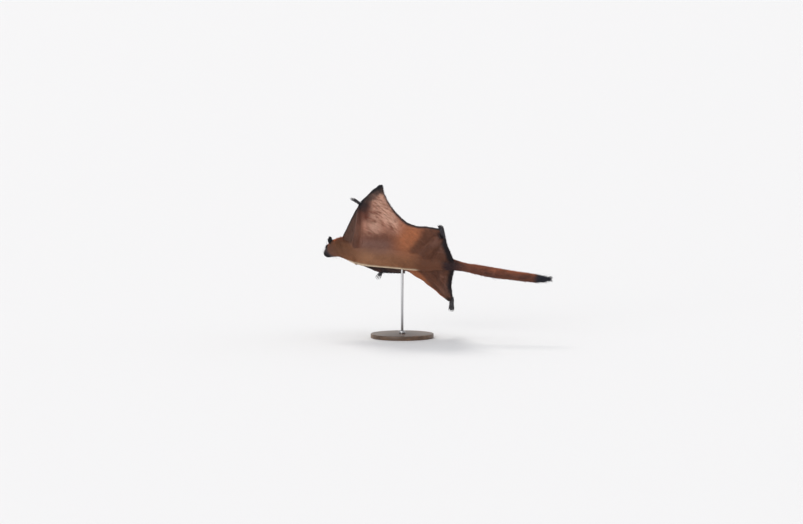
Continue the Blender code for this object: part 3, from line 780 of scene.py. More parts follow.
def triangle_areas(corners: Array) -> Array:
    """The area of each triangle, from its three corners."""
    a, b, c = corners.transpose(1, 0, 2)
    return np.linalg.norm(np.cross(b - a, c - a), axis=1) / 2


def chance_shares(rng: np.random.Generator, count: int) -> tuple[Array, Array]:
    """Chance places in triangles, as shares of the way along two of their sides.

    Args:
        rng: The source of chance.
        count: How many places.

    Returns:
        The shares along the first side and along the second.
    """
    u, v = rng.random(count), rng.random(count)
    over = u + v > 1
    u[over], v[over] = 1 - u[over], 1 - v[over]
    return u, v


def values_of(items: bpy_prop_collection, name: str, width: int = 3, kind: type = float) -> Array:
    """One property of all of a mesh's vertices, edges or triangles.

    Args:
        items: The mesh's own list of them.
        name: The property.
        width: How many numbers it has.
        kind: The type of the numbers.

    Returns:
        One row for each item.
    """
    flat = np.empty(len(items) * width, kind)
    items.foreach_get(name, flat)
    return flat.reshape(-1, width)


def coordinates(mesh: Mesh) -> Array:
    """The mesh's vertices."""
    return values_of(mesh.vertices, "co")


def vertex_normals(mesh: Mesh) -> Array:
    """The mesh's vertex normals."""
    return values_of(mesh.vertex_normals, "vector")


def triangles_of(mesh: Mesh) -> Array:
    """The mesh's triangles as vertex numbers."""
    mesh.calc_loop_triangles()
    return values_of(mesh.loop_triangles, "vertices", kind=np.int32)


def edges_of(mesh: Mesh) -> Array:
    """The mesh's edges as vertex numbers."""
    return values_of(mesh.edges, "vertices", 2, np.int32)


def spread_out(values: Array, edges: Array, rounds: int, weight: float = 0.5) -> Array:
    """Evens out values over a mesh by moving each towards its neighbours' mean.

    Args:
        values: One row for each vertex.
        edges: Pairs of vertex numbers.
        rounds: How often to even out.
        weight: How far each round goes towards the mean.

    Returns:
        The evened values.
    """
    values = np.array(values, float)
    flat = values.ndim == 1
    if flat:
        values = values[:, None]
    count = len(values)
    ends = np.concatenate([edges[:, 0], edges[:, 1]])
    others = np.concatenate([edges[:, 1], edges[:, 0]])
    neighbours = np.bincount(ends, minlength=count)
    weight = np.where(neighbours > 0, weight, 0.0)
    neighbours = np.maximum(neighbours, 1)
    for _ in range(rounds):
        for axis in range(values.shape[1]):
            mean = np.bincount(ends, weights=values[others, axis], minlength=count) / neighbours
            values[:, axis] += (mean - values[:, axis]) * weight
    return values[:, 0] if flat else values


def mesh_from_arrays(
    name: str, points: Array, faces: Array, colours: Array | None = None,
    loop_uvs: Array | None = None,
) -> Object:
    """A new object from arrays of triangles.

    Args:
        name: The object's name.
        points: Vertices.
        faces: Triangles as vertex numbers.
        colours: Linear colours, one for each vertex.
        loop_uvs: Bake map places, one for each corner of each face.

    Returns:
        The new object, linked to the scene.
    """
    mesh = bpy.data.meshes.new(name)
    mesh.vertices.add(len(points))
    mesh.vertices.foreach_set("co", np.ascontiguousarray(points, np.float32).ravel())
    mesh.loops.add(len(faces) * 3)
    mesh.loops.foreach_set("vertex_index", np.ascontiguousarray(faces, np.int32).ravel())
    mesh.polygons.add(len(faces))
    mesh.polygons.foreach_set("loop_start", np.arange(len(faces), dtype=np.int32) * 3)
    mesh.update(calc_edges=True)
    if colours is not None:
        paint_vertices(mesh, colours)
    if loop_uvs is not None:
        layer = mesh.uv_layers.new(name="OFBake")
        layer.data.foreach_set("uv", np.ascontiguousarray(loop_uvs, np.float32).ravel())
    mesh.shade_smooth()
    return new_object(name, mesh)


def paint_vertices(mesh: Mesh, colours: Array) -> None:
    """Stores linear colours as the mesh's coat_colour attribute.

    Args:
        mesh: The mesh.
        colours: One colour for each vertex.
    """
    layer = mesh.attributes.get("coat_colour") or mesh.attributes.new("coat_colour", "FLOAT_COLOR", "POINT")
    full = np.ones((len(colours), 4), np.float32)
    full[:, :3] = np.clip(colours, 0.0, 1.0)
    layer.data.foreach_set("color", full.ravel())


def store_value(mesh: Mesh, name: str, values: Array) -> None:
    """Stores one number for each vertex as an attribute."""
    layer = mesh.attributes.new(name, "FLOAT", "POINT")
    layer.data.foreach_set("value", np.ascontiguousarray(values, np.float32))


# Finishes


class Wires:
    """Adds and joins the nodes of a material or a node group."""

    def __init__(self, tree: NodeTree) -> None:
        """Keeps the tree to fill."""
        self.tree = tree

    def node(
        self, kind: str, values: dict[str | int, object] | None = None, operation: str = "",
    ) -> ShaderNode:
        """Adds a node.

        Args:
            kind: Its type.
            values: What its input sockets are set to, by name or number.
            operation: What a maths node does.

        Returns:
            The new node.
        """
        node = self.tree.nodes.new(f"ShaderNode{kind}")
        if operation:
            node.operation = operation
        for socket, value in (values or {}).items():
            node.inputs[socket].default_value = value
        return node

    def attribute(self, name: str) -> ShaderNode:
        """Adds a node that reads one of the mesh's attributes.

        Args:
            name: The attribute's name.

        Returns:
            The new node.
        """
        node = self.node("Attribute")
        node.attribute_name = name
        return node

    def ramp(self, *stops: tuple[float, Triple]) -> ShaderNode:
        """Adds a colour ramp with these stops, the first and the last its ends.

        Args:
            stops: Places and colours.

        Returns:
            The new node.
        """
        node = self.node("ValToRGB")
        elements = node.color_ramp.elements
        for element, (place, colour) in zip(elements, (stops[0], stops[-1])):
            element.position = place
            element.color = (*colour, 1.0)
        for place, colour in stops[1:-1]:
            elements.new(place).color = (*colour, 1.0)
        return node

    def join(self, *pairs: tuple[NodeSocket, NodeSocket]) -> None:
        """Joins each pair of an output and an input."""
        for output, target in pairs:
            self.tree.links.new(output, target)


class Effects:
    """Node groups that more than one finish uses."""

    _made: dict[str, NodeTree] = {}

    @classmethod
    def hair_grain(cls) -> NodeTree:
        """Fine light and dark grain with a matching height.

        Returns:
            A group with the inputs Colour, Scale and Depth and the outputs Tinted and Height.
        """
        if "hair_grain" in cls._made:
            return cls._made["hair_grain"]
        group = bpy.data.node_groups.new("hair_grain", "ShaderNodeTree")
        for name, way, kind in (
            ("Colour", "INPUT", "Color"), ("Scale", "INPUT", "Float"), ("Depth", "INPUT", "Float"),
            ("Tinted", "OUTPUT", "Color"), ("Height", "OUTPUT", "Float"),
        ):
            group.interface.new_socket(name, in_out=way, socket_type=f"NodeSocket{kind}")
        wires = Wires(group)
        inputs = group.nodes.new("NodeGroupInput").outputs
        outputs = group.nodes.new("NodeGroupOutput").inputs
        place = wires.node("TexCoord")
        noise = wires.node("TexNoise", {"Detail": 4.0, "Roughness": 0.65})
        low = wires.node("Math", {1: -0.5, 2: 1.0}, "MULTIPLY_ADD")
        spread = wires.node("Math", operation="MULTIPLY_ADD")
        mix = wires.node("VectorMath", operation="SCALE")
        wires.join(
            (place.outputs["Object"], noise.inputs["Vector"]), (inputs["Scale"], noise.inputs["Scale"]),
            (inputs["Depth"], low.inputs[0]), (noise.outputs["Fac"], spread.inputs[0]),
            (inputs["Depth"], spread.inputs[1]), (low.outputs[0], spread.inputs[2]),
            (inputs["Colour"], mix.inputs[0]), (spread.outputs[0], mix.inputs["Scale"]),
            (mix.outputs[0], outputs["Tinted"]), (noise.outputs["Fac"], outputs["Height"]))
        cls._made["hair_grain"] = group
        return group


def new_material(name: str, **values: float) -> tuple[Material, Wires, ShaderNode]:
    """A material with nodes.

    Args:
        name: The material's name.
        values: What the Principled shader's sockets are set to, with _ for a space.

    Returns:
        The material, the wires of its tree and its Principled shader.
    """
    material = bpy.data.materials.new(name)
    material.use_nodes = True
    shader = material.node_tree.nodes["Principled BSDF"]
    for socket, value in values.items():
        shader.inputs[socket.replace("_", " ")].default_value = value
    return material, Wires(material.node_tree), shader


def grained(wires: Wires, shader: ShaderNode, colour: NodeSocket, scale: float,
            depth: float) -> ShaderNode:
    """Gives the shader a colour with hair grain over it.

    Args:
        wires: The wires of the material's tree.
        shader: Its Principled shader.
        colour: The output that holds the plain colour.
        scale: How fine the grain is.
        depth: How strong it is.

    Returns:
        The grain's node.
    """
    grain = wires.node("Group")
    grain.node_tree = Effects.hair_grain()
    grain.inputs["Scale"].default_value = scale
    grain.inputs["Depth"].default_value = depth
    wires.join((colour, grain.inputs["Colour"]), (grain.outputs["Tinted"], shader.inputs["Base Color"]))
    return grain


@dataclass(frozen=True)
class CoatFinish:
    """Fur that takes its colour from the coat_colour attribute."""

    roughness: float = 0.72
    sheen: float = 0.08
    sheen_roughness: float = 0.45
    specular: float = 0.2
    grain_scale: float = 260.0
    grain_depth: float = 0.35

    def material(self) -> Material:
        """Makes the material.

        Returns:
            The material.
        """
        material, wires, shader = new_material(
            "coat", Roughness=self.roughness, Sheen_Weight=self.sheen,
            Sheen_Roughness=self.sheen_roughness, Specular_IOR_Level=self.specular)
        paint = wires.attribute("coat_colour")
        grained(wires, shader, paint.outputs["Color"], self.grain_scale, self.grain_depth)
        return material


@dataclass(frozen=True)
class SkinFinish:
    """The skin under the coat, duller where furred and a little moist where bare."""

    specular: float = 0.35
    furred_roughness: float = 0.82
    bare_roughness: float = 0.38
    grain_scale: float = 520.0
    grain_depth: float = 0.55
    bump: float = 0.0005
    bump_strength: float = 0.7

    def material(self) -> Material:
        """Makes the material.

        Returns:
            The material.
        """
        material, wires, shader = new_material("skin", Specular_IOR_Level=self.specular)
        paint, bare = wires.attribute("coat_colour"), wires.attribute("bare")
        grain = grained(wires, shader, paint.outputs["Color"], self.grain_scale, self.grain_depth)
        shine = wires.node("MapRange", {"To Min": self.furred_roughness, "To Max": self.bare_roughness})
        bump = wires.node("Bump", {"Strength": self.bump_strength, "Distance": self.bump})
        wires.join(
            (bare.outputs["Fac"], shine.inputs["Value"]),
            (shine.outputs["Result"], shader.inputs["Roughness"]),
            (grain.outputs["Height"], bump.inputs["Height"]),
            (bump.outputs["Normal"], shader.inputs["Normal"]))
        return material


@dataclass(frozen=True)
class EyeFinish:
    """A wet dark eye: near-black iris with a dark brown ring and a blacker pupil."""

    iris: Triple = (0.012, 0.006, 0.004)
    ring: Triple = (0.022, 0.010, 0.005)
    pupil: Triple = (0.002, 0.002, 0.002)
    iris_edge: float = 0.60
    ring_edge: float = 0.80
    pupil_edge: float = 0.84
    roughness: float = 0.05
    bending: float = 1.376
    specular: float = 0.45

    def material(self, middle: Array, axis: Array, radius: float) -> Material:
        """Makes the material.

        Args:
            middle: The eyeball's centre.
            axis: The way the eye looks.
            radius: The eyeball's radius.

        Returns:
            The new material.
        """
        material, wires, shader = new_material(
            "eye", Roughness=self.roughness, IOR=self.bending, Specular_IOR_Level=self.specular)
        place = wires.node("TexCoord")
        away = wires.node("VectorMath", {1: tuple(middle)}, "SUBTRACT")
        along = wires.node("VectorMath", {1: tuple(axis / radius)}, "DOT_PRODUCT")
        ramp = wires.ramp(
            (self.iris_edge, self.iris), (self.ring_edge, self.ring), (self.pupil_edge, self.pupil))
        wires.join(
            (place.outputs["Object"], away.inputs[0]), (away.outputs[0], along.inputs[0]),
            (along.outputs["Value"], ramp.inputs["Fac"]),
            (ramp.outputs["Color"], shader.inputs["Base Color"]))
        return material


@dataclass(frozen=True)
class HornFinish:
    """Dark horn of claws, with a fine light and dark grain over it, and the stiff black hairs of the face.
    """

    name: str
    colour: Triple
    roughness: float
    grain_scale: float = 700.0
    grain_depth: float = 0.5

    def material(self) -> Material:
        """Makes the material.

        Returns:
            The material.
        """
        material, wires, shader = new_material(self.name, Roughness=self.roughness)
        tint = wires.node("RGB")
        tint.outputs[0].default_value = (*self.colour, 1.0)
        grained(wires, shader, tint.outputs[0], self.grain_scale, self.grain_depth)
        return material


@dataclass(frozen=True)
class WoodFinish:
    """Dark stained wood with long grain under satin varnish."""

    dark: Triple = (0.060, 0.032, 0.018)
    light: Triple = (0.150, 0.085, 0.048)
    stretch: Triple = (1.0, 0.09, 1.0)
    grain: float = 55.0
    pores: float = 420.0
    bump: float = 0.0004
    bump_strength: float = 0.25
    smoothest: float = 0.34
    roughest: float = 0.52

    def material(self) -> Material:
        """Makes the material.

        Returns:
            The material.
        """
        material, wires, shader = new_material("stand_wood")
        place = wires.node("TexCoord")
        stretch = wires.node("Mapping", {"Scale": self.stretch})
        noise = wires.node("TexNoise", {"Scale": self.grain, "Detail": 6.0, "Distortion": 0.6})
        ramp = wires.ramp((0.36, self.dark), (0.66, self.light))
        pores = wires.node("TexNoise", {"Scale": self.pores})
        bump = wires.node("Bump", {"Strength": self.bump_strength, "Distance": self.bump})
        shine = wires.node("MapRange", {"To Min": self.smoothest, "To Max": self.roughest})
        wires.join(
            (place.outputs["Object"], stretch.inputs["Vector"]),
            (stretch.outputs["Vector"], noise.inputs["Vector"]),
            (stretch.outputs["Vector"], pores.inputs["Vector"]),
            (noise.outputs["Fac"], ramp.inputs["Fac"]), (ramp.outputs["Color"], shader.inputs["Base Color"]),
            (noise.outputs["Fac"], shine.inputs["Value"]),
            (shine.outputs["Result"], shader.inputs["Roughness"]),
            (pores.outputs["Fac"], bump.inputs["Height"]), (bump.outputs["Normal"], shader.inputs["Normal"]))
        return material


@dataclass(frozen=True)
class SteelFinish:
    """Satin steel, brushed round the rod."""

    dark: Triple = (0.36, 0.36, 0.37)
    light: Triple = (0.52, 0.52, 0.53)
    stretch: Triple = (1.0, 1.0, 24.0)
    brushing: float = 160.0
    smoothest: float = 0.24
    roughest: float = 0.46

    def material(self) -> Material:
        """Makes the material.

        Returns:
            The material.
        """
        material, wires, shader = new_material("stand_steel", Metallic=1.0)
        place = wires.node("TexCoord")
        stretch = wires.node("Mapping", {"Scale": self.stretch})
        noise = wires.node("TexNoise", {"Scale": self.brushing, "Detail": 3.0})
        rough = wires.node("MapRange", {"To Min": self.smoothest, "To Max": self.roughest})
        tint = wires.ramp((0.0, self.dark), (1.0, self.light))
        wires.join(
            (place.outputs["Object"], stretch.inputs["Vector"]),
            (stretch.outputs["Vector"], noise.inputs["Vector"]),
            (noise.outputs["Fac"], rough.inputs["Value"]), (noise.outputs["Fac"], tint.inputs["Fac"]),
            (rough.outputs["Result"], shader.inputs["Roughness"]),
            (tint.outputs["Color"], shader.inputs["Base Color"]))
        return material


def place_piece(obj: Object, slot: str, *replaced: str) -> None:
    """Fixes a finished piece to the frame and reports it.

    Args:
        obj: The piece.
        slot: Its material slot's name. It is not used.
        replaced: The nodes that it stands for.
    """
    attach(obj, "root")
    if replaced:
        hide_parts(*replaced)
    LOG.info("%s: %d triangles", obj.name, len(triangles_of(obj.data)))


# Skin


@dataclass
class Eye:
    """One eyeball's place and the way it looks, from its solid."""

    label: str
    side: float
    opening: float = 50.0
    way: Triple = (0.86, -0.30, 0.40)

    def __post_init__(self) -> None:
        """Reads the eyeball's place from its solid."""
        solid = coordinates(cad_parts[f"eye_{self.label}"].data)
        low, high = solid.min(axis=0), solid.max(axis=0)
        self.middle = (low + high) / 2
        self.radius = float(np.mean(np.linalg.norm(solid - self.middle, axis=1)))
        straight_middle = POSE.straight(self.middle[None], True)
        way = np.array(self.way) * (self.side, 1.0, 1.0)
        self.axis = POSE.directions(straight_middle, way, True)[0]

    def facing(self, points: Array) -> tuple[Array, Array]:
        """How points lie about the eye.

        Args:
            points: Points in the world.

        Returns:
            Their distances from its middle and their angles off its axis, in degrees.
        """
        away = points - self.middle
        reach = np.maximum(np.linalg.norm(away, axis=1), 1e-9)
        return reach, np.degrees(np.arccos(np.clip(away @ self.axis / reach, -1.0, 1.0)))


def tube_faces(rings: int, sides: int) -> list[tuple[int, int, int]]:
    """Triangles between the neighbouring rings of a tube.

    Args:
        rings: How many rings.
        sides: Corners of each ring.

    Returns:
        The triangles, as vertex numbers counted ring by ring.
    """
    faces = []
    for start in range(0, (rings - 1) * sides, sides):
        for corner in range(sides):
            a, b = start + corner, start + (corner + 1) % sides
            faces += [(a, b, b + sides), (a, b + sides, a + sides)]
    return faces


def end_fans(rings: int, sides: int) -> list[tuple[int, int, int]]:
    """Triangles that close a tube's ends round two middles, numbered after its rings.

    Args:
        rings: How many rings.
        sides: How many corners each has.

    Returns:
        The triangles.
    """
    first, last = rings * sides, (rings - 1) * sides
    faces = []
    for corner in range(sides):
        beside = (corner + 1) % sides
        faces += [(first, beside, corner), (first + 1, last + corner, last + beside)]
    return faces


def tube(centres: Array, across: Array, over: Array, wide: Array,
         thick: Array, sides: int = 14) -> tuple[Array, Array]:
    """A closed tube of oval rings along a line.

    Args:
        centres: The rings' centres.
        across: The direction of each ring's width.
        over: The direction of each ring's thickness.
        wide: Half widths.
        thick: Half thicknesses.
        sides: Corners of each ring.

    Returns:
        Points and triangles.
    """
    angles = 2 * math.pi * np.arange(sides) / sides
    rings = centres[:, None] + across * (np.cos(angles) * wide[:, None])[..., None]
    rings = rings + over * (np.sin(angles) * thick[:, None])[..., None]
    points = np.concatenate([rings.reshape(-1, 3), centres[:1], centres[-1:]])
    return points, np.array(tube_faces(len(centres), sides) + end_fans(len(centres), sides))


def tapered(name: str, lines: Array, radii: Array, sides: int,
            beside: Triple) -> Object:
    """Closed spikes along lines of points, as one piece.

    Args:
        name: The piece's name.
        lines: Spikes by points along them by 3.
        radii: Half thickness at each point along.
        sides: Corners of each ring. A ring of three closes with one triangle.
        beside: A direction that none of the lines runs in.

    Returns:
        The new object.
    """
    ahead = unit(np.gradient(lines, axis=1))
    first = unit(np.cross(ahead, np.array(beside)))
    second = np.cross(ahead, first)
    angles = 2 * math.pi * np.arange(sides) / sides
    around = [first * math.cos(angle) + second * math.sin(angle) for angle in angles]
    points = np.stack([lines + way * radii[None, :, None] for way in around], axis=2)
    points = points.reshape(len(lines), -1, 3)
    count = lines.shape[1]
    pattern = tube_faces(count, sides)
    if sides == 3:
        last = 3 * count - 3
        pattern += [(0, 2, 1), (last, last + 1, last + 2)]
    else:
        pattern += end_fans(count, sides)
        points = np.concatenate([points, lines[:, [0, -1]]], axis=1)
    faces = np.arange(len(lines))[:, None, None] * points.shape[1] + np.array(pattern)
    return mesh_from_arrays(name, points.reshape(-1, 3), faces.reshape(-1, 3))


@dataclass(frozen=True)
class Paw:
    """A hand or foot, drawn on the left: a flat pad that ends in a fan of jointed digits."""

    node: str
    root: Triple
    tip: Triple
    set_back: float
    length: float
    half_width: float
    half_thickness: float
    digits: int
    digit_length: float
    digit_radius: float
    digit_set_in: float
    pad_share: float
    pads: tuple[Triple, ...]

    def axes(self) -> tuple[Array, Array, Array, Array]:
        """The paw's root and its directions forward, up and across.

        Returns:
            The root and three unit directions.
        """
        root, tip = np.array(self.root), np.array(self.tip)
        way = unit(tip - root)
        over = unit(np.array((0.0, 0.0, 1.0)) - way * way[2])
        return root - way * self.set_back, way, over, np.cross(way, over)

    def digit(self, number: int, share: Array) -> Array:
        """Points along one digit's middle, at shares of its length up to the claw's root.

        Args:
            number: Which digit.
            share: Shares of its length.

        Returns:
            One point for each share.
        """
        root, way, _, across = self.axes()
        out = 2.0 * number / (self.digits - 1) - 1.0
        start = root + way * (self.length - self.digit_set_in - 0.0022 * out * out)
        start = start + across * (self.half_width - self.digit_radius * 1.05) * out
        reach = self.digit_length * (1.0 - 0.16 * out * out) + self.digit_set_in - 0.005
        full = reach + 0.009
        t = (np.asarray(share) * reach / full)[:, None]
        line = start + way * full * t * (1 - 0.08 * t)
        line = line + across * out * self.digit_length * 0.2 * t * (1 - 0.4 * t)
        return line - np.array((0.0, 0.0, 1.0)) * 0.003 * t * t

    def shells(self) -> list[tuple[Array, Array]]:
        """Closed overlapping shapes of the pad, the digits and the cushions under them.

        Returns:
            Vertices and triangles of each shape.
        """
        root, way, over, across = self.axes()
        share = np.array((0.0, 0.12, 0.3, 0.5, 0.8, 0.95, 1.0))
        wide = self.half_width * np.array((0.55, 0.74, 0.82, 0.88, 0.95, 0.82, 0.6))
        thick = self.half_thickness * np.array((0.7, 0.88, 0.9, 0.86, 0.72, 0.6, 0.4))
        pad = self.length * self.pad_share
        made = [tube(root + way * (pad * share)[:, None], across, over, wide, thick, 20)]
        share = np.array((0.0, 0.15, 0.32, 0.45, 0.55, 0.68, 0.78, 0.88, 0.96, 1.0))
        size = np.array((1.0, 0.95, 0.92, 1.02, 0.90, 0.84, 0.86, 0.94, 0.80, 0.50))
        for number in range(self.digits):
            line = self.digit(number, share)
            width = self.digit_radius * size * 0.84
            made.append(tube(line, across, over, width, width * 1.05))
            made.append(self._cushion(line[-3] - over * 0.0007, 0.0017))
            made.append(self._cushion(line[3] - over * 0.0006, 0.0015))
        for along, sideways, size_mm in self.pads:
            middle = root + way * self.length * along + across * self.half_width * sideways
            middle = middle - over * self.half_thickness * 0.62
            made.append(self._cushion(middle, size_mm * MM))
        return made

    def _cushion(self, middle: Array, size: float) -> tuple[Array, Array]:
        """A low rounded cushion.

        Args:
            middle: Its middle.
            size: Its half width.

        Returns:
            Its vertices and triangles.
        """
        _, way, over, across = self.axes()
        share = np.sin(np.linspace(-math.pi / 2, math.pi / 2, 9))
        round_off = np.sqrt(np.maximum(1.0 - share**2, 0.0)) * size
        return tube(middle + way * (size * 1.2 * share)[:, None], across, over, round_off, round_off * 0.85)


HEEL = (0.166, 0.466, -0.023)
PAWS = (
    Paw("hand", LAND.wrist, LAND.hand_tip, 0.003, 0.022, 0.0076, 0.0048, 4, 0.026, 0.0023, 0.007, 0.95,
        ((0.80, -0.55, 2.3), (0.84, 0.0, 2.4), (0.80, 0.55, 2.3), (0.36, -0.40, 2.6), (0.36, 0.42, 2.6))),
    Paw("foot", HEEL, LAND.toe_tip, 0.0, 0.060, 0.0090, 0.0060, 5, 0.019, 0.0024, 0.013, 0.88,
        ((0.78, -0.62, 2.3), (0.82, -0.2, 2.4), (0.82, 0.2, 2.4), (0.78, 0.62, 2.3),
         (0.58, -0.55, 2.5), (0.50, 0.55, 2.5))),
)


def join_share(join: Array) -> Array:
    """1 where a membrane meets flesh, fading away on both sides."""
    return np.clip(4.5 * join * (1.0 - join), 0.0, 1.0)


@dataclass
class Skin:
    """The one skin over the whole animal, inside the solids by the coat's depth."""

    eyes: list[Eye]
    sample_spacing: float = 2.6 * MM
    least_samples: int = 200
    voxel: float = 0.0015
    paw_voxel: float = 0.0006
    weld: float = 0.00001
    # Painted shade: the share of its colour that the skin keeps under the coat.
    under_coat: float = 0.75
    most_triangles: int = 186000
    smoothing: int = 5
    join_reach: int = 40
    join_rounds: int = 45
    depth_rounds: int = 14
    fold_rounds: int = 3
    wing_rounds: int = 18
    soft_rounds: int = 36
    ear_facing: Triple = (0.40, -0.75, 0.35)
    tail_taper: Pair = (0.782, 0.842)
    tip_radius: float = 0.0115
    tip_set_back: float = 0.0120
    tip_rounds: int = 30
    tip_slope: float = 0.72
    tip_pushes: tuple[tuple[float, ...], ...] = (
        (0.2290, 0.2170, 0.0042, -0.0044, 0.030), (0.2385, 0.2345, -0.0034, -0.0034, 0.011),
        (0.2270, 0.2370, 0.0000, 0.0036, 0.017))
    ear_cup: float = 0.0024
    tip_half_angle: float = 35.0
    tip_way: Pair = (0.916, 0.400)

    def __post_init__(self) -> None:
        """Samples the solids, to tell later which region a point belongs to."""
        self.flesh = [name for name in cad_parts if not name.startswith("stand_")]
        samples, self.sample_regions = self._sample_solids()
        self.tree = KDTree(len(samples))
        for number, point in enumerate(samples):
            self.tree.insert(point, number)
        self.tree.balance()

    def _sample_solids(self) -> tuple[Array, Array]:
        """Evenly scattered points on the solids, each with its region.

        Returns:
            The points and their region numbers.
        """
        rng = np.random.default_rng(7)
        points, regions = [], []
        for name in self.flesh:
            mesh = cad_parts[name].data
            corners = coordinates(mesh)[triangles_of(mesh)]
            areas = triangle_areas(corners)
            count = max(int(areas.sum() / self.sample_spacing**2), self.least_samples)
            chosen = rng.choice(len(corners), count, p=areas / areas.sum())
            u, v = chance_shares(rng, count)
            a, b, c = corners[chosen].transpose(1, 0, 2)
            points.append(a + (b - a) * u[:, None] + (c - a) * v[:, None])
            regions.append(np.full(count, NODE_REGIONS[name.split("_")[0]].value))
        return np.concatenate(points), np.concatenate(regions)

    def regions_at(self, points: Array) -> Array:
        """The region of the nearest solid at each point."""
        return self.sample_regions[[self.tree.find(point)[1] for point in points]]

    def build(self) -> Object:
        """Joins, evens, shrinks and details the skin.

        Returns:
            The finished skin.
        """
        obj = self._join_solids()
        mesh = obj.data
        edges = edges_of(mesh)
        points = spread_out(coordinates(mesh), edges, self.smoothing)
        regions = self.regions_at(points)
        points = self._blend_joins(points, edges, regions)
        self._move(mesh, points)
        on_head = np.isin(regions, HEAD_REGIONS)
        places = self._round_tips(POSE.straight(points, on_head), regions)
        places = self._cup_ears(self._taper_tail(places, regions), regions)
        points = POSE.posed(places, on_head)
        from_tip = np.hypot(np.abs(places[:, 0]) - LAND.spur_tip[0], places[:, 1] - LAND.spur_tip[1])
        near_tip = ease(from_tip, 0.034, 0.020) * in_regions(regions, Region.WING, Region.SPUR)
        points = self._evened(points, edges, near_tip, self.tip_rounds)
        places = POSE.straight(points, on_head)
        back = self._back_share(mesh, places, on_head)
        depth = spread_out(self._coat_depth(places, regions, back), edges, self.depth_rounds)
        folds = self._membrane_folds(places, regions)
        dorsal = POSE.directions(places, (0.0, 0.0, 1.0), on_head)
        points = points - vertex_normals(mesh) * depth[:, None]
        points = points + dorsal * spread_out(folds, edges, self.fold_rounds)[:, None]
        self._move(mesh, points)
        self._refine_face(obj)
        self._sculpt_face(obj)
        self._thin_out(obj)
        self._paint(obj.data)
        obj.data.materials.clear()
        obj.data.materials.append(SkinFinish().material())
        obj.data.shade_smooth()
        return named(obj, "skin")

    @staticmethod
    def _move(mesh: Mesh, points: Array) -> None:
        """Puts the vertices at these points."""
        mesh.vertices.foreach_set("co", np.ascontiguousarray(points, np.float32).ravel())
        mesh.update()

    def _join_solids(self) -> Object:
        """Copies of the flesh solids with finer paws, made one closed surface.

        Returns:
            The joined object.
        """
        deselect_all()
        for name in self.flesh:
            if name.startswith(("hand", "foot")):
                continue
            copy = new_object(f"{name}_copy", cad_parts[name].data.copy())
            copy.select_set(True)
            bpy.context.view_layer.objects.active = copy
        bpy.ops.object.join()
        obj = bpy.context.view_layer.objects.active
        edit_all(obj, bpy.ops.mesh.remove_doubles, threshold=self.weld)
        modify(obj, "REMESH", mode="VOXEL", voxel_size=self.voxel)
        for paw in PAWS:
            for label, side in SIDES:
                part = self._paw(paw, label, side)
                modify(obj, "BOOLEAN", operation="UNION", solver="MANIFOLD", object=part)
                bpy.data.objects.remove(part)
        return obj

    def _paw(self, paw: Paw, label: str, side: float) -> Object:
        """One hand or foot in its posed place, as one closed surface.

        Args:
            paw: The hand or foot.
            label: "left" or "right".
            side: 1 for the left, -1 for the right.

        Returns:
            The new object.
        """
        points, faces, start = [], [], 0
        for shell_points, shell_faces in paw.shells():
            points.append(shell_points)
            faces.append(shell_faces + start)
            start += len(shell_points)
        posed = POSE.posed(np.concatenate(points) * np.array((side, 1.0, 1.0)), False)
        obj = mesh_from_arrays(f"{paw.node}_{label}_fine", posed, np.concatenate(faces))
        edit_all(obj, bpy.ops.mesh.normals_make_consistent, inside=False)
        modify(obj, "REMESH", mode="VOXEL", voxel_size=self.paw_voxel)
        return obj

    def _round_tips(self, places: Array, regions: Array) -> Array:
        """Rounds off the wing tips.

        Args:
            places: Points in the straight frame.
            regions: Each point's region number.

        Returns:
            The points, with those near a wing tip moved in.
        """
        wing = in_regions(regions, Region.WING, Region.SPUR)
        side = np.where(places[:, 0] >= 0, 1.0, -1.0)
        way = np.array(self.tip_way)
        middle = np.array(LAND.spur_tip[:2]) - way * self.tip_set_back
        flat = np.stack([np.abs(places[:, 0]), places[:, 1]], axis=1) - middle
        reach = np.maximum(np.linalg.norm(flat, axis=1), 1e-9)
        angle = np.degrees(np.arccos(np.clip(flat @ way / reach, -1.0, 1.0)))
        share = ease(angle, 130.0, 70.0) * ease(reach, 0.032, 0.020) * wing
        nearest = self.tip_set_back * math.sin(math.radians(self.tip_half_angle))
        lean = np.radians(np.minimum(np.abs(90.0 - self.tip_half_angle - angle), 75.0))
        scale = 1.0 + (self.tip_radius * np.cos(lean) / nearest - 1.0) * share
        moved = middle + flat * scale[:, None]
        for x, y, push_x, push_y, reach in self.tip_pushes:
            far = np.hypot(moved[:, 0] - x, moved[:, 1] - y)
            moved = moved + np.outer(bump_at(far, 0.0, reach) * wing, (push_x, push_y))
        made = places.copy()
        made[:, 0] = moved[:, 0] * side
        made[:, 1] = moved[:, 1]
        made[:, 2] += self.tip_slope * (moved[:, 0] - np.abs(places[:, 0]))
        return made

    def _cup_ears(self, places: Array, regions: Array) -> Array:
        """Hollows the ears, which face forward and outward.

        Args:
            places: Points in the straight frame.
            regions: Each point's region number.

        Returns:
            The moved points.
        """
        made = places.copy()
        for _, side in SIDES:
            ear = in_regions(regions, Region.EAR) & (places[:, 0] * side > 0)
            middle = places[ear].mean(axis=0)
            depth = ease(np.linalg.norm(places[ear] - middle, axis=1), 0.0125, 0.001) * self.ear_cup
            made[ear] -= np.outer(depth, unit(np.array(self.ear_facing) * (side, 1.0, 1.0)))
        return made

    def _taper_tail(self, places: Array, regions: Array) -> Array:
        """Narrows the tail's last stretch, where only hair fills the outline.

        Args:
            places: Points in the straight frame.
            regions: Each point's region number.

        Returns:
            The moved points.
        """
        tail = in_regions(regions, Region.TAIL)
        share = 1.0 - 0.60 * ease(places[:, 1], *self.tail_taper) * tail
        made = places.copy()
        made[:, 0] *= share
        made[:, 2] = LAND.tail_axis + (made[:, 2] - LAND.tail_axis) * share
        made[:, 1] -= 0.40 * np.maximum(places[:, 1] - 0.810, 0.0) * tail
        return made

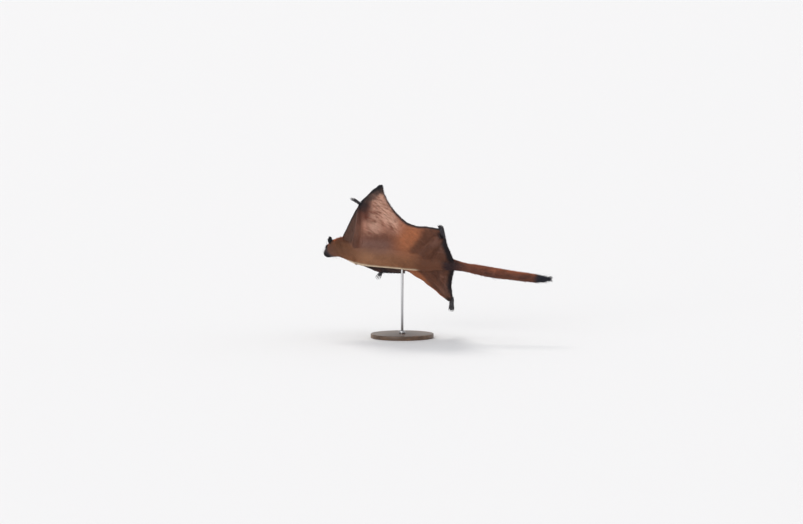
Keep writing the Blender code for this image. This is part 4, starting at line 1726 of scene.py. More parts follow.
    def _blend_joins(self, points: Array, edges: Array, regions: Array) -> Array:
        """Fillets between trunk, limbs and membranes, so that one runs into the next.

        Args:
            points: The skin's vertices.
            edges: Its edges.
            regions: Each vertex's region number.

        Returns:
            The blended vertices.
        """
        parts = (
            in_regions(regions, *WINGS),
            in_regions(regions, Region.TRUNK, Region.NECK),
            in_regions(regions, Region.ARM, Region.LEG),
        )
        near = [spread_out(part * 1.0, edges, self.join_reach) for part in parts]
        share = 0.0
        for a, b in ((0, 1), (0, 2), (1, 2)):
            share = np.maximum(share, np.clip(4.0 * near[a] * near[b], 0.0, 1.0))
        share = np.maximum(share, spread_out(in_regions(regions, Region.NECK) * 0.9, edges, 8))
        share = share * ~in_regions(regions, Region.HAND, Region.FOOT, Region.HEAD, Region.EAR)
        return self._evened(points, edges, share**0.5, self.join_rounds)

    @staticmethod
    def _evened(points: Array, edges: Array, share: Array, rounds: int) -> Array:
        """The points, evened out as much as the share says, and only where it is above 0.1.

        Args:
            points: Vertices.
            edges: Pairs of vertex numbers.
            share: How much to even at each vertex.
            rounds: How often.

        Returns:
            The evened vertices.
        """
        chosen = np.flatnonzero(share > 0.1)
        number = np.full(len(points), -1)
        number[chosen] = np.arange(len(chosen))
        kept = number[edges]
        kept = kept[(kept >= 0).all(axis=1)]
        local, weight = points[chosen].copy(), share[chosen][:, None]
        for _ in range(rounds):
            local += (spread_out(local, kept, 1, 0.9) - local) * weight
        evened = points.copy()
        evened[chosen] = local
        return evened

    @staticmethod
    def _back_share(mesh: Mesh, places: Array, on_head: Array) -> Array:
        """1 where the surface looks towards the animal's back, -1 towards its belly."""
        dorsal = POSE.directions(places, (0.0, 0.0, 1.0), on_head)
        return np.einsum("ni,ni->n", vertex_normals(mesh), dorsal)

    @staticmethod
    def _coat_depth(places: Array, regions: Array, back: Array) -> Array:
        """How deep the coat is at each place, which is how far the skin lies inside the solids.

        Args:
            places: Points in the straight frame.
            regions: Each point's region number.
            back: 1 where the surface looks towards the back, -1 towards the belly.

        Returns:
            Depths in metres.
        """
        place = places[:, 1]
        depth = coat_sizes(regions, "depth") / MM
        depth += in_regions(regions, Region.TRUNK, Region.NECK) * ease(back, -0.2, 0.5) * 1.5
        depth += in_regions(regions, Region.HEAD) * 4.0 * ease(place, 0.022, 0.070)
        tail = in_regions(regions, Region.TAIL)
        depth += tail * 4.5 * ease(place, 0.470, 0.540)
        depth *= 1.0 - tail * 0.65 * ease(place, 0.790, 0.830)
        return depth * MM

    @staticmethod
    def _membrane_folds(places: Array, regions: Array) -> Array:
        """Low soft folds that run back and inward across the membranes.

        Args:
            places: Points in the straight frame.
            regions: Each point's region number.

        Returns:
            Heights in metres.
        """
        out, place = np.abs(places[:, 0]), places[:, 1]
        along, across = along_folds(out, place)
        folds = lattice_noise(np.stack([along / 0.090, across / 0.016, np.sign(places[:, 0])], axis=1), 31)
        return (folds - 0.5) * 4.2 * MM * in_regions(regions, *WINGS) * ease(out, 0.045, 0.080)

    def _refine_face(self, obj: Object) -> None:
        """Splits the faces round eyes, nose and mouth finer.

        Args:
            obj: The object to change.
        """
        for reach, front in ((0.017, 0.034), (0.0125, 0.0125)):
            mesh = obj.data
            points = coordinates(mesh)
            places = POSE.straight(points, True)
            near = (places[:, 1] < front) & (np.abs(places[:, 0]) < 0.040)
            for eye in self.eyes:
                near |= np.linalg.norm(points - eye.middle, axis=1) < reach
            work = bmesh.new()
            work.from_mesh(mesh)
            work.verts.ensure_lookup_table()
            edges = [edge for edge in work.edges if near[edge.verts[0].index] and near[edge.verts[1].index]]
            bmesh.ops.subdivide_edges(work, edges=edges, cuts=1, use_grid_fill=True)
            bmesh.ops.triangulate(work, faces=[face for face in work.faces if len(face.verts) > 4])
            work.to_mesh(mesh)
            work.free()
            mesh.update()

    def _sculpt_face(self, obj: Object) -> None:
        """Lids round the eyes, nostrils, a split lip and the mouth's line.

        Args:
            obj: The object to change.
        """
        mesh = obj.data
        points = coordinates(mesh)
        normals = vertex_normals(mesh)
        near_head = np.linalg.norm(points - self.eyes[0].middle, axis=1) < 0.11
        places = POSE.straight(points, True)
        places[:, 0] = np.abs(places[:, 0])
        out, place, height = places.T
        lip_pad = np.linalg.norm((places - (0.0085, 0.0135, 0.0215)) / (0.0075, 0.0095, 0.0075), axis=1)
        brow = np.linalg.norm((places - (0.0190, 0.0290, 0.0500)) / (0.008, 0.011, 0.005), axis=1)
        nostril = np.hypot((out - 0.0034) / 0.0016, (height - 0.0232) / 0.0012)
        over_mouth = height - mouth_height(place)
        split = ease(height, 0.0230, 0.0200) * ease(height, 0.0140, 0.0155) * ease(place, 0.010, 0.006)
        push = 1.3 * bump_at(lip_pad, 0.0, 1.0) + 1.2 * bump_at(brow, 0.0, 1.0)
        push -= (
            1.5 * bump_at(over_mouth, 0.0, 0.0010) * ease(place, 0.0300, 0.0240) * ease(place, 0.003, 0.006))
        push += 0.5 * bump_at(over_mouth, -0.0022, 0.0013) * ease(place, 0.0280, 0.0180)
        push -= 0.9 * bump_at(out, 0.0, 0.0008) * split
        push -= 1.9 * bump_at(nostril, 0.0, 1.0) * ease(place, 0.0060, 0.0035)
        points = points + normals * (push * MM * near_head)[:, None]
        for eye in self.eyes:
            points = self._close_lids(points, eye)
        self._move(mesh, points)

    @staticmethod
    def _close_lids(points: Array, eye: Eye) -> Array:
        """Skin under the eyeball inside the opening, and a rim that hugs it outside.

        Args:
            points: Vertices.
            eye: The eye.

        Returns:
            The moved vertices.
        """
        reach, facing = eye.facing(points)
        near = (reach < eye.radius * 2.1) & (facing < 100)
        inside = eye.radius * 0.90
        rim = eye.radius + 0.9 * MM
        lid = inside + (rim - inside) * ease(facing, eye.opening - 3.0, eye.opening + 4.0)
        settled = ease(facing, eye.opening + 8.0, eye.opening + 34.0)
        wanted = lid * (1 - settled) + np.maximum(reach, eye.radius + 0.3 * MM) * settled
        moved = eye.middle + (points - eye.middle) / reach[:, None] * wanted[:, None]
        return np.where(near[:, None], moved, points)

    def _thin_out(self, obj: Object) -> None:
        """Fewer triangles where the skin is flat.

        Args:
            obj: The object to change.
        """
        count = len(triangles_of(obj.data))
        LOG.info("skin before thinning: %d triangles", count)
        if count > self.most_triangles:
            modify(obj, "DECIMATE", ratio=self.most_triangles / count)
        modify(obj, "TRIANGULATE", quad_method="SHORTEST_DIAGONAL")

    def _paint(self, mesh: Mesh) -> None:
        """Keeps the finished skin's triangles and vertices, and stores its colours, darkened as painted
        shade under the coat.

        Args:
            mesh: The finished skin's mesh.
        """
        points, normals, edges = coordinates(mesh), vertex_normals(mesh), edges_of(mesh)
        self.triangles = triangles_of(mesh)
        regions = self.regions_at(points)
        on_head = np.isin(regions, HEAD_REGIONS)
        places = POSE.straight(points, on_head)
        back = self._back_share(mesh, places, on_head)
        EDGES.measure(places, regions)
        facing = np.tile(self.ear_facing, (len(places), 1))
        facing[:, 0] *= np.where(places[:, 0] >= 0, 1.0, -1.0)
        inner = np.einsum("ni,ni->n", normals, POSE.directions(places, facing, on_head))
        join = spread_out(in_regions(regions, *WINGS) * 1.0, edges, self.wing_rounds)
        self.spots = Spots(points, normals, places, back, inner, join, regions)
        colours = Markings(self.spots).painted()
        self.spots.soft_colour = spread_out(colours, edges, self.soft_rounds)
        blend = join_share(join)[:, None]
        colours = spread_out(colours, edges, 1) * (1.0 - blend) + self.spots.soft_colour * blend
        # The skin's colours are darkened as painted shade under the coat.
        paint_vertices(mesh, colours * self.under_coat)
        bare = in_regions(regions, Region.HAND, Region.FOOT) * ease(back, 0.1, -0.4)
        store_value(mesh, "bare", np.maximum(bare, on_head * ease(places[:, 1], 0.0055, 0.0035)))


# Coat


@dataclass
class Roots:
    """Where tufts grow and what each is like. Every field has one row for each tuft."""

    point: Array
    normal: Array
    lie: Array
    length: Array
    width: Array
    lift: Array
    tip_lift: Array
    bend: Array
    colour: Array
    tip_colour: Array
    atlas: Array


@dataclass(frozen=True)
class CoatKind:
    """The coat of one region: spacing, a tuft's sizes and the coat's depth, in millimetres."""

    spacing: float
    length: float
    width: float
    lift: float
    depth: float


COATS = {
    Region.HEAD: CoatKind(1.08, 7.6, 0.78, 2.3, 0.5),
    Region.EAR: CoatKind(1.05, 2.4, 0.50, 0.6, 0.35),
    Region.NECK: CoatKind(1.22, 12.5, 1.00, 3.2, 5.0),
    Region.TRUNK: CoatKind(1.32, 14.5, 1.05, 4.0, 4.0),
    Region.TAIL: CoatKind(1.20, 24.0, 1.05, 7.6, 4.0),
    Region.ARM: CoatKind(1.35, 9.0, 0.95, 2.0, 1.8),
    Region.HAND: CoatKind(1.05, 3.6, 0.55, 0.7, 0.35),
    Region.SPUR: CoatKind(1.35, 6.0, 0.80, 1.2, 0.8),
    Region.LEG: CoatKind(1.42, 11.0, 1.10, 2.7, 2.6),
    Region.FOOT: CoatKind(1.05, 4.5, 0.60, 0.8, 0.35),
    Region.FRONT_WING: CoatKind(1.50, 9.0, 0.90, 1.2, 1.0),
    Region.WING: CoatKind(1.50, 9.0, 0.90, 1.2, 1.0),
    Region.REAR_WING: CoatKind(1.50, 9.5, 0.95, 1.3, 1.0),
}


def coat_sizes(regions: Array, size: str) -> Array:
    """One of the coat's sizes where each point is, in metres."""
    return np.array([getattr(COATS[kind], size) for kind in Region])[regions] * MM


@dataclass(frozen=True)
class CoatPiece:
    """One piece of the coat: its regions, and the stretch and side of the body that it covers."""

    name: str
    kinds: tuple[Region, ...]
    segments: int = 2
    start: float = -1.0
    end: float = 1.0
    side: float = 0.0

    def covers(self, places: Array) -> Array:
        """True where a place belongs to this piece."""
        on_side = np.where(places[:, 0] >= 0, 1.0, -1.0) * self.side >= 0.0
        return on_side & (places[:, 1] >= self.start) & (places[:, 1] < self.end)


TRUNK_SPLIT = 0.272
COAT_PIECES = (
    CoatPiece("coat_head_short", (Region.EAR,), 1),
    CoatPiece("coat_head", (Region.HEAD,)),
    CoatPiece("coat_neck", (Region.NECK,)),
    CoatPiece("coat_trunk_front", (Region.TRUNK,), end=TRUNK_SPLIT),
    CoatPiece("coat_trunk_rear", (Region.TRUNK,), start=TRUNK_SPLIT),
    CoatPiece("coat_tail", (Region.TAIL,)),
    CoatPiece("coat_arms_short", (Region.HAND,), 1),
    CoatPiece("coat_arms", (Region.ARM, Region.SPUR)),
    CoatPiece("coat_legs_short", (Region.FOOT,), 1),
    CoatPiece("coat_legs", (Region.LEG,)),
    CoatPiece("coat_wing_left", WINGS, 1, side=1.0),
    CoatPiece("coat_wing_right", WINGS, 1, side=-1.0),
)


@dataclass
class Coat:
    """Grows the coat on the skin and parts it into pieces."""

    skin: Skin
    patch: float = 0.003

    def __post_init__(self) -> None:
        """Starts the draws of chance."""
        self.rng = np.random.default_rng(41)

    def build(self) -> list[Object]:
        """Grows every piece of the coat.

        Returns:
            The finished pieces.
        """
        finish = CoatFinish().material()
        pieces = []
        for piece in COAT_PIECES:
            obj = self._tufts(piece, self._roots(piece))
            obj.data.materials.append(finish)
            pieces.append(obj)
        return pieces

    def _roots(self, piece: CoatPiece) -> Roots:
        """Scatters roots over the skin that a piece covers.

        Args:
            piece: The piece of the coat.

        Returns:
            The roots, with all that shapes a tuft.
        """
        spots, corners = self.skin.spots, self.skin.triangles
        regions = spots.regions[corners[:, 0]]
        usable = in_regions(regions, *piece.kinds) & piece.covers(spots.place[corners].mean(axis=1))
        corners, regions = corners[usable], regions[usable]
        share = self._spacing_share(spots.place[corners[:, 0], 1], regions)
        spacing = coat_sizes(regions, "spacing") * share
        expected = triangle_areas(spots.point[corners]) / spacing**2
        count = np.floor(expected + self.rng.random(len(expected))).astype(int)
        chosen = np.repeat(np.arange(len(corners)), count)
        u, v = chance_shares(self.rng, len(chosen))
        weights = np.stack([1 - u - v, u, v])
        # What each root is like is mixed from the corners of its triangle.
        mixed = {
            name: (values[corners[chosen]].T * weights).sum(axis=-2).T
            for name, values in vars(spots).items()}
        mixed.update(regions=regions[chosen], normal=unit(mixed["normal"]))
        found = Spots(**mixed)
        return self._shaped(found.kept(self._has_fur(found)))

    @staticmethod
    def _spacing_share(y: Array, regions: Array) -> Array:
        """Closer tufts on the muzzle and towards the tail's tip.

        Args:
            y: Places behind the nose tip.
            regions: Each point's region number.

        Returns:
            What the spacing is multiplied by.
        """
        share = np.ones(len(y))
        head = in_regions(regions, Region.HEAD)
        share[head] = 0.62 + 0.38 * ease(y[head], 0.015, 0.050)
        tail = in_regions(regions, Region.TAIL)
        share[tail] = 1.0 - 0.35 * ease(y[tail], 0.760, 0.810)
        return share

    def _has_fur(self, spots: Spots) -> Array:
        """False on nose, mouth, eyes, palms, soles and the tail's very end.

        Args:
            spots: Spots on the skin.

        Returns:
            True where tufts grow.
        """
        place, regions = spots.place, spots.regions
        backward = POSE.directions(place, (0.0, 1.0, 0.0), False)
        end = in_regions(regions, Region.TAIL) & (place[:, 1] > 0.81)
        bare = end & (np.einsum("ni,ni->n", spots.normal, backward) > 0.70)
        for eye in self.skin.eyes:
            reach, facing = eye.facing(spots.point)
            bare |= (reach < eye.radius * 1.5) & (facing < eye.opening + 9.0)
        head = in_regions(regions, Region.HEAD)
        bare |= head & (place[:, 1] < 0.0052) & (place[:, 2] > 0.0170)
        mouth = np.abs(place[:, 2] - mouth_height(place[:, 1])) < 0.0008
        bare |= head & mouth & (place[:, 1] < 0.024)
        return ~(bare | in_regions(regions, Region.HAND, Region.FOOT) & (spots.back < -0.25))

    def _shaped(self, spots: Spots) -> Roots:
        """Gives each root its length, lie, lift and colour.

        Args:
            spots: The furred spots.

        Returns:
            The roots.
        """
        place, back, regions, rng = spots.place, spots.back, spots.regions, self.rng
        count, y = len(place), place[:, 1]
        head, ear, neck, trunk, tail, foot = (
            in_regions(regions, kind) for kind in (
                Region.HEAD, Region.EAR, Region.NECK, Region.TRUNK, Region.TAIL, Region.FOOT))
        length, width, lift = (coat_sizes(regions, size) for size in ("length", "width", "lift"))
        belly = trunk * ease(back, 0.3, -0.3)
        edge = self._edge_share(spots)
        round_body = np.degrees(np.arctan2(-place[:, 0], -place[:, 2]))
        flank = trunk * bump_at(round_body, 42.0, 12.0) * ease(y, 0.125, 0.150) * ease(y, 0.365, 0.335)
        # Where the coat differs, and what is added there to the factors of length, width and lift.
        for share, longer, wider, higher in (
            (head * ease(y, 0.055, 0.010), -0.72, -0.45, -0.80),
            (tail * ease(y, 0.530, 0.460), -0.40, 0.0, -0.45),
            (tail * ease(y, 0.770, 0.815), 0.25, 0.0, -0.35),
            (belly, -0.20, -0.14, -0.36),
            (edge, -0.42, -0.35, -0.60),
            (ear * ease(spots.inner, 0.2, 0.6), -0.35, -0.35, 0.0),
            (ear * bump_at(spots.inner, 0.1, 0.45), 0.90, 0.0, 1.50),
            (foot * bump_at(back, 0.0, 0.35), 0.90, 0.0, 1.60),
            (flank, 0.0, 0.0, 0.45),
            (neck * ease(back, -0.1, 0.4), 0.0, 0.0, -0.50),
        ):
            length *= 1.0 + longer * share
            width *= 1.0 + wider * share
            lift *= 1.0 + higher * share
        clump = lattice_noise(place / 0.009, 51)
        length *= (0.76 + 0.42 * rng.random(count)) * (0.85 + 0.3 * clump)
        off_axis = np.hypot(place[:, 0], place[:, 2] - LAND.tail_axis)
        longest = np.maximum(LAND.hair_end - y - 0.9 * off_axis, 0.006) * (0.82 + 0.18 * rng.random(count))
        length = np.where(tail, np.minimum(length, longest), length)
        width *= 0.75 + 0.5 * rng.random(count)
        lift *= 0.62 + 0.5 * rng.random(count)
        lie = self._swirled(spots, edge)
        colour, tip_colour = self._colours(spots, belly)
        wing = in_regions(regions, *WINGS)
        lift *= np.where(wing, 1.0 + 1.2 * (1.0 - spots.join), 1.0 - 1.1 * spots.join)
        tip_lift = lift * np.where(tail, 0.84, np.where(neck | trunk, 0.55, 0.72))
        return Roots(
            spots.point, spots.normal, lie, length, width, lift, tip_lift, rng.normal(0.0, 0.06, count),
            colour, tip_colour, self._atlas(spots))

    def _swirled(self, spots: Spots, edge: Array) -> Array:
        """The way each tuft lies in the world, with swirls and a little disorder.

        Args:
            spots: Where the tufts grow.
            edge: 1 at the membranes' free edges, fading inward.

        Returns:
            One direction along the skin for each tuft.
        """
        place, normal, regions = spots.place, spots.normal, spots.regions
        lie = POSE.directions(place, self._lie(spots, edge), np.isin(regions, HEAD_REGIONS))
        lie = unit(lie - normal * np.einsum("ni,ni->n", lie, normal)[:, None])
        swirl = (lattice_noise(place / 0.016, 52) - 0.5) * 0.6 + self.rng.normal(0.0, 0.11, len(place))
        swirl *= 1.0 - 0.45 * in_regions(regions, Region.TAIL)
        return unit(lie + np.cross(normal, lie) * swirl[:, None])

    def _colours(self, spots: Spots, belly: Array) -> tuple[Array, Array]:
        """Each tuft's own colour and its tip's, lighter or, here and there on the back, dark.

        Args:
            spots: Where the tufts grow.
            belly: 1 on the belly, where tufts differ less.

        Returns:
            The colours and the tips' colours, in linear light.
        """
        count = len(spots.place)
        colour = Markings(spots).painted()
        blend = join_share(spots.join)[:, None]
        colour = colour * (1.0 - blend) + spots.soft_colour * blend
        colour *= np.exp(self.rng.normal(0.0, 0.12, count) * (1.0 - 0.35 * belly))[:, None]
        above = ~in_regions(spots.regions, Region.HEAD, Region.EAR) * ease(spots.back, 0.0, 0.5)
        dark_tip = (self.rng.random(count) < 0.20) * above
        return colour, colour * 1.22 * (1.0 - 0.55 * dark_tip)[:, None]

    @staticmethod
    def _edge_share(spots: Spots) -> Array:
        """1 at the membranes' free edges, fading inward.

        Args:
            spots: Where the tufts grow.

        Returns:
            One share for each tuft.
        """
        out, y = np.abs(spots.place[:, 0]), spots.place[:, 1]
        free = ease(EDGES.distance(spots.place), 0.010, 0.003)
        rear = ease(distance_to_line(out, y, LAND.rear_edge), 0.014, 0.004)
        lead = ease(distance_to_line(out, y, LAND.leading_edge), 0.010, 0.003)
        wing, rear_wing, front_wing = (
            in_regions(spots.regions, kind)
            for kind in (Region.WING, Region.REAR_WING, Region.FRONT_WING))
        return np.clip(wing * free + rear_wing * rear + front_wing * lead * 0.3, 0.0, 1.0)

    @staticmethod
    def _lie(spots: Spots, edge: Array) -> Array:
        """The way the coat lies, in the straight frame.

        Args:
            spots: Where the tufts grow.
            edge: 1 at the membranes' free edges, fading inward.

        Returns:
            One direction for each tuft.
        """
        place, back, regions = spots.place, spots.back, spots.regions
        side = np.where(place[:, 0] >= 0, 1.0, -1.0)
        mirror = np.stack([side, np.ones(len(side)), np.ones(len(side))], axis=1)
        ways = np.tile((0.0, 1.0, 0.0), (len(place), 1))
        across = np.where(back < 0, -0.50, 0.30) * (1 - edge) + 0.45 * edge
        for region, sideways in (
            (Region.WING, across), (Region.REAR_WING, 0.25 + 0.1 * edge),
            (Region.FRONT_WING, np.full(len(place), 0.55)),
        ):
            here = in_regions(regions, region)
            ways[here, 0] = (side * sideways)[here]
        for region, start, end, backward in (
            (Region.ARM, LAND.shoulder, LAND.wrist, 0.9), (Region.HAND, LAND.wrist, LAND.hand_tip, 0.0),
            (Region.SPUR, LAND.wrist, LAND.spur_tip, 0.9), (Region.LEG, LAND.hip, LAND.ankle, 0.9),
            (Region.FOOT, LAND.ankle, LAND.toe_tip, 0.0),
        ):
            here = in_regions(regions, region)
            way = unit(np.array(end) - np.array(start)) + np.array((0.0, backward, 0.0))
            ways[here] = (unit(way) * mirror)[here]
        tail = in_regions(regions, Region.TAIL)
        inward = (ease(place[:, 1], 0.770, 0.815) * tail)[:, None]
        gather = unit(np.array((0.0, 0.870, LAND.tail_axis)) - place)
        ways = ways * (1.0 - inward) + gather * inward
        ear = in_regions(regions, Region.EAR)
        ways[ear] = (mirror * (0.86, 0.45, 0.06))[ear]
        head = in_regions(regions, Region.HEAD)
        spread = 1 - ease(place[:, 1], 0.0, 0.035)
        ways[head, 0] = (side * 0.35 * spread)[head]
        ways[head, 2] = (np.sign(place[:, 2] - 0.026) * 0.25 * spread)[head]
        return ways

    @staticmethod
    def _atlas(spots: Spots) -> Array:
        """Each root's place on an unwrap: body and tail as a rolled-out tube, the rest laid flat.

        Args:
            spots: Where the tufts grow.

        Returns:
            Places between 0 and 1.
        """
        place = spots.place
        rolled_up = in_regions(spots.regions, Region.HEAD, Region.NECK, Region.TRUNK, Region.TAIL)
        stations = (0.0, 0.045, 0.125, 0.45, 0.60, 0.84)
        middle = np.interp(place[:, 1], stations, (0.024, 0.032, 0.006, -0.004, -0.018, -0.018))
        turn = (np.arctan2(place[:, 0], place[:, 2] - middle) / (2 * math.pi)) + 0.5
        rolled = np.stack([0.02 + place[:, 1] / 0.86 * 0.96, 0.02 + 0.40 * turn], axis=1)
        cell = np.where(place[:, 0] >= 0, 0, 1) + np.where(spots.back >= 0, 2, 0)
        flat = np.stack([
            0.02 + cell * 0.245 + np.abs(place[:, 0]) / 0.29 * 0.22,
            0.45 + (place[:, 1] - 0.04) / 0.47 * 0.52,
        ], axis=1)
        return np.where(rolled_up[:, None], rolled, flat)

    def _tufts(self, piece: CoatPiece, roots: Roots) -> Object:
        """One mesh of all these tufts, each a closed spike, bent where it has two segments.

        Args:
            piece: The piece of the coat.
            roots: What grows where.

        Returns:
            The new object.
        """
        across = np.cross(roots.lie, roots.normal)
        wide, reach, lift = roots.width[:, None], roots.length[:, None], roots.lift[:, None]
        base = roots.point - roots.normal * (0.35 * wide)
        raised = roots.normal * (0.55 * wide)
        half = wide * 0.5
        rings = [np.stack([base - across * half, base + across * half, base + raised], axis=1)]
        # The root ring's colour is darkened: painted shade deep in the coat.
        shades = [np.repeat(roots.colour[:, None] * 0.78, 3, axis=1)]
        sway = across * roots.bend[:, None] * reach
        pattern = [(0, 2, 1), (0, 1, 3), (1, 2, 3), (2, 0, 3)]
        patch = ((0.0, 0.0), (1.0, 0.0), (0.5, 0.2), (0.5, 1.0))
        if piece.segments == 2:
            centre = roots.point + roots.lie * reach * 0.45 + roots.normal * lift * 0.86 + sway
            half = wide * 0.36
            rings.append(np.stack(
                [centre - across * half, centre + across * half, centre + raised * 0.5], axis=1))
            shades.append(np.repeat(roots.colour[:, None], 3, axis=1))
            pattern = [(0, 2, 1)]
            for i, j in ((0, 1), (1, 2), (2, 0)):
                pattern += [(i, j, 3 + j), (i, 3 + j, 3 + i), (3 + i, 3 + j, 6)]
            patch = ((0.0, 0.0), (1.0, 0.0), (0.5, 0.15), (0.15, 0.5), (0.85, 0.5), (0.5, 0.62), (0.5, 1.0))
        tip = roots.point + roots.lie * reach + roots.normal * roots.tip_lift[:, None] + sway * 3.0
        points = np.concatenate([*rings, tip[:, None]], axis=1)
        colours = np.concatenate([*shades, roots.tip_colour[:, None]], axis=1)
        pattern = np.array(pattern)
        corner = points[0][pattern]
        if np.einsum("ni,ni->n", corner[:, 0], np.cross(corner[:, 1], corner[:, 2])).sum() < 0:
            pattern = pattern[:, ::-1]
        faces = np.arange(len(points))[:, None, None] * points.shape[1] + pattern
        uvs = roots.atlas[:, None, None] + np.array(patch)[pattern] * self.patch
        return mesh_from_arrays(
            piece.name, points.reshape(-1, 3), faces.reshape(-1, 3), colours.reshape(-1, 3),
            uvs.reshape(-1, 2))


# Eyes, claws and whiskers


@dataclass(frozen=True)
class Face:
    """The eyeballs and the whiskers."""

    cornea: float = 0.0005
    whisker_radius: float = 0.00022
    rows: tuple[float, ...] = (0.0190, 0.0215, 0.0240, 0.0265)
    columns: int = 5
    brow_hairs: int = 3
    sag: Triple = (0.0, 0.20, -0.176)

    def eyeball(self, eye: Eye) -> Object:
        """A smooth eyeball with a slightly raised cornea.

        Args:
            eye: Which eye.

        Returns:
            The finished eyeball.
        """
        deselect_all()
        bpy.ops.mesh.primitive_uv_sphere_add(
            segments=48, ring_count=32, radius=eye.radius, location=tuple(eye.middle))
        obj = bpy.context.object
        look_along(obj, eye.axis, "Z")
        settle(obj)
        points = coordinates(obj.data)
        facing = unit(points - eye.middle) @ eye.axis
        points = points + eye.axis * (self.cornea * ease(facing, 0.72, 0.98))[:, None]
        obj.data.vertices.foreach_set("co", points.ravel())
        obj.data.materials.append(EyeFinish().material(eye.middle, eye.axis, eye.radius))
        obj.data.shade_smooth()
        return named(obj, f"eyeball_{eye.label}")

    def whiskers(self) -> Object:
        """Stiff black hairs in rows on both sides of the muzzle, and a few above each eye.

        Returns:
            All of them as one piece.
        """
        rng = np.random.default_rng(5)
        starts, ways, lengths = [], [], []
        for _, side in SIDES:
            for row, height in enumerate(self.rows):
                for column in range(self.columns):
                    y = 0.0085 + 0.0035 * column + 0.001 * (row % 2)
                    x = 0.0128 + 0.0018 * column - 0.0008 * abs(row - 1)
                    starts.append((side * x, y, height))
                    ways.append((side * 0.92, 0.50 + 0.10 * column, (row - 1.2) * 0.22))
                    lengths.append(0.026 + 0.0045 * column)
            for column in range(self.brow_hairs):
                starts.append((side * (0.017 + 0.002 * column), 0.026 + 0.003 * column, 0.0485))
                ways.append((side * 0.55, 0.55, 0.65))
                lengths.append(0.024)
        starts, ways = np.array(starts), unit(np.array(ways))
        lengths = np.array(lengths) * (0.85 + 0.3 * rng.random(len(starts)))
        ways = unit(ways + rng.normal(0.0, 0.06, ways.shape))
        share = np.linspace(0.0, 1.0, 7)
        lines = starts[:, None] + ways[:, None] * (lengths[:, None] * share)[..., None]
        lines = lines + np.array(self.sag) * (lengths[:, None] * share**2)[..., None]
        posed = POSE.posed(lines.reshape(-1, 3), True).reshape(lines.shape)
        radii = (1.0 - 0.85 * share) * self.whisker_radius
        obj = tapered("whiskers", posed, radii, 3, (0.31, 0.22, 0.93))
        obj.data.materials.append(HornFinish("whisker", (0.012, 0.010, 0.010), 0.45).material())
        return obj


@dataclass(frozen=True)
class Claws:
    """Every claw, seated in the end of its digit."""

    reach: float = 0.0100
    sunk: float = 0.0022
    hook: float = 0.0040
    arch: float = 0.0016
    raised: float = 0.0004
    radius: float = 0.00125
    sides: int = 8
    rings: int = 9

    def build(self) -> Object:
        """Makes a curved claw on each digit.

        Returns:
            All the claws as one piece.
        """
        share = np.linspace(0.0, 1.0, self.rings)
        rise = self.arch * np.sin(math.pi * 0.5 * share) - self.hook * share**2
        lines = []
        for _, side in SIDES:
            for paw in PAWS:
                _, _, over, _ = paw.axes()
                for number in range(paw.digits):
                    end = paw.digit(number, np.array((0.8, 1.0)))
                    ahead = unit(end[1] - end[0])
                    start = end[1] - ahead * self.sunk + over * self.raised
                    line = start + np.outer(self.reach * share, ahead) + np.outer(rise, over)
                    lines.append(line * np.array((side, 1.0, 1.0)))
        lines = np.array(lines)
        posed = POSE.posed(lines.reshape(-1, 3), False).reshape(lines.shape)
        radii = (1.0 - 0.96 * share**1.3) * self.radius
        obj = tapered("claws", posed, radii, self.sides, (0.3, 0.8, 0.52))
        obj.data.materials.append(HornFinish("claw", (0.030, 0.024, 0.022), 0.28).material())
        return obj


# Stand


@dataclass(frozen=True)
class Turning:
    """One round piece of the stand, as tall as its solid. Sizes in metres, angles in degrees."""

    name: str
    node: str
    radius: float
    corners: int
    edge: float
    edge_steps: int
    grooves: tuple[Pair, ...] = ()
    sink: float = 0.0
    sharp: float = 50.0
    smooth: float = 35.0

    def build(self, finish: Material) -> Object:
        """Turns the piece, with its grooves cut into the top and its edges rounded.

        Args:
            finish: Its material.

        Returns:
            The finished piece.
        """
        low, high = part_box(self.node)
        bottom, top = low[2], high[2] + self.sink
        deselect_all()
        bpy.ops.mesh.primitive_cylinder_add(
            vertices=self.corners, radius=self.radius, depth=top - bottom,
            location=(0.0, 0.0, (top + bottom) / 2))
        obj = bpy.context.object
        settle(obj)
        bpy.ops.object.mode_set(mode="EDIT")
        work = bmesh.from_edit_mesh(obj.data)
        for face in work.faces:
            face.select_set(face.normal.z > 0.9)
        bmesh.update_edit_mesh(obj.data)
        for width, depth in self.grooves:
            bpy.ops.mesh.inset(thickness=width, depth=depth)
        bpy.ops.object.mode_set(mode="OBJECT")
        modify(obj, "BEVEL", width=self.edge, segments=self.edge_steps, limit_method="ANGLE",
               angle_limit=math.radians(self.sharp))
        obj.data.materials.append(finish)
        bpy.ops.object.shade_smooth_by_angle(angle=math.radians(self.smooth))
        return named(obj, self.name)


BASE = Turning(
    "stand_disc", "stand_base", 0.112, 128, 0.0030, 4, ((0.010, 0.0), (0.0012, -0.0010), (0.0012, 0.0010)))
ROD = Turning("stand_post", "stand_rod", 0.0045, 40, 0.0004, 2, sink=0.014)
COLLAR = Turning("stand_ring", "stand_collar", 0.011, 64, 0.0012, 3, ((0.0030, 0.0), (0.0006, -0.0006)))


# Studio


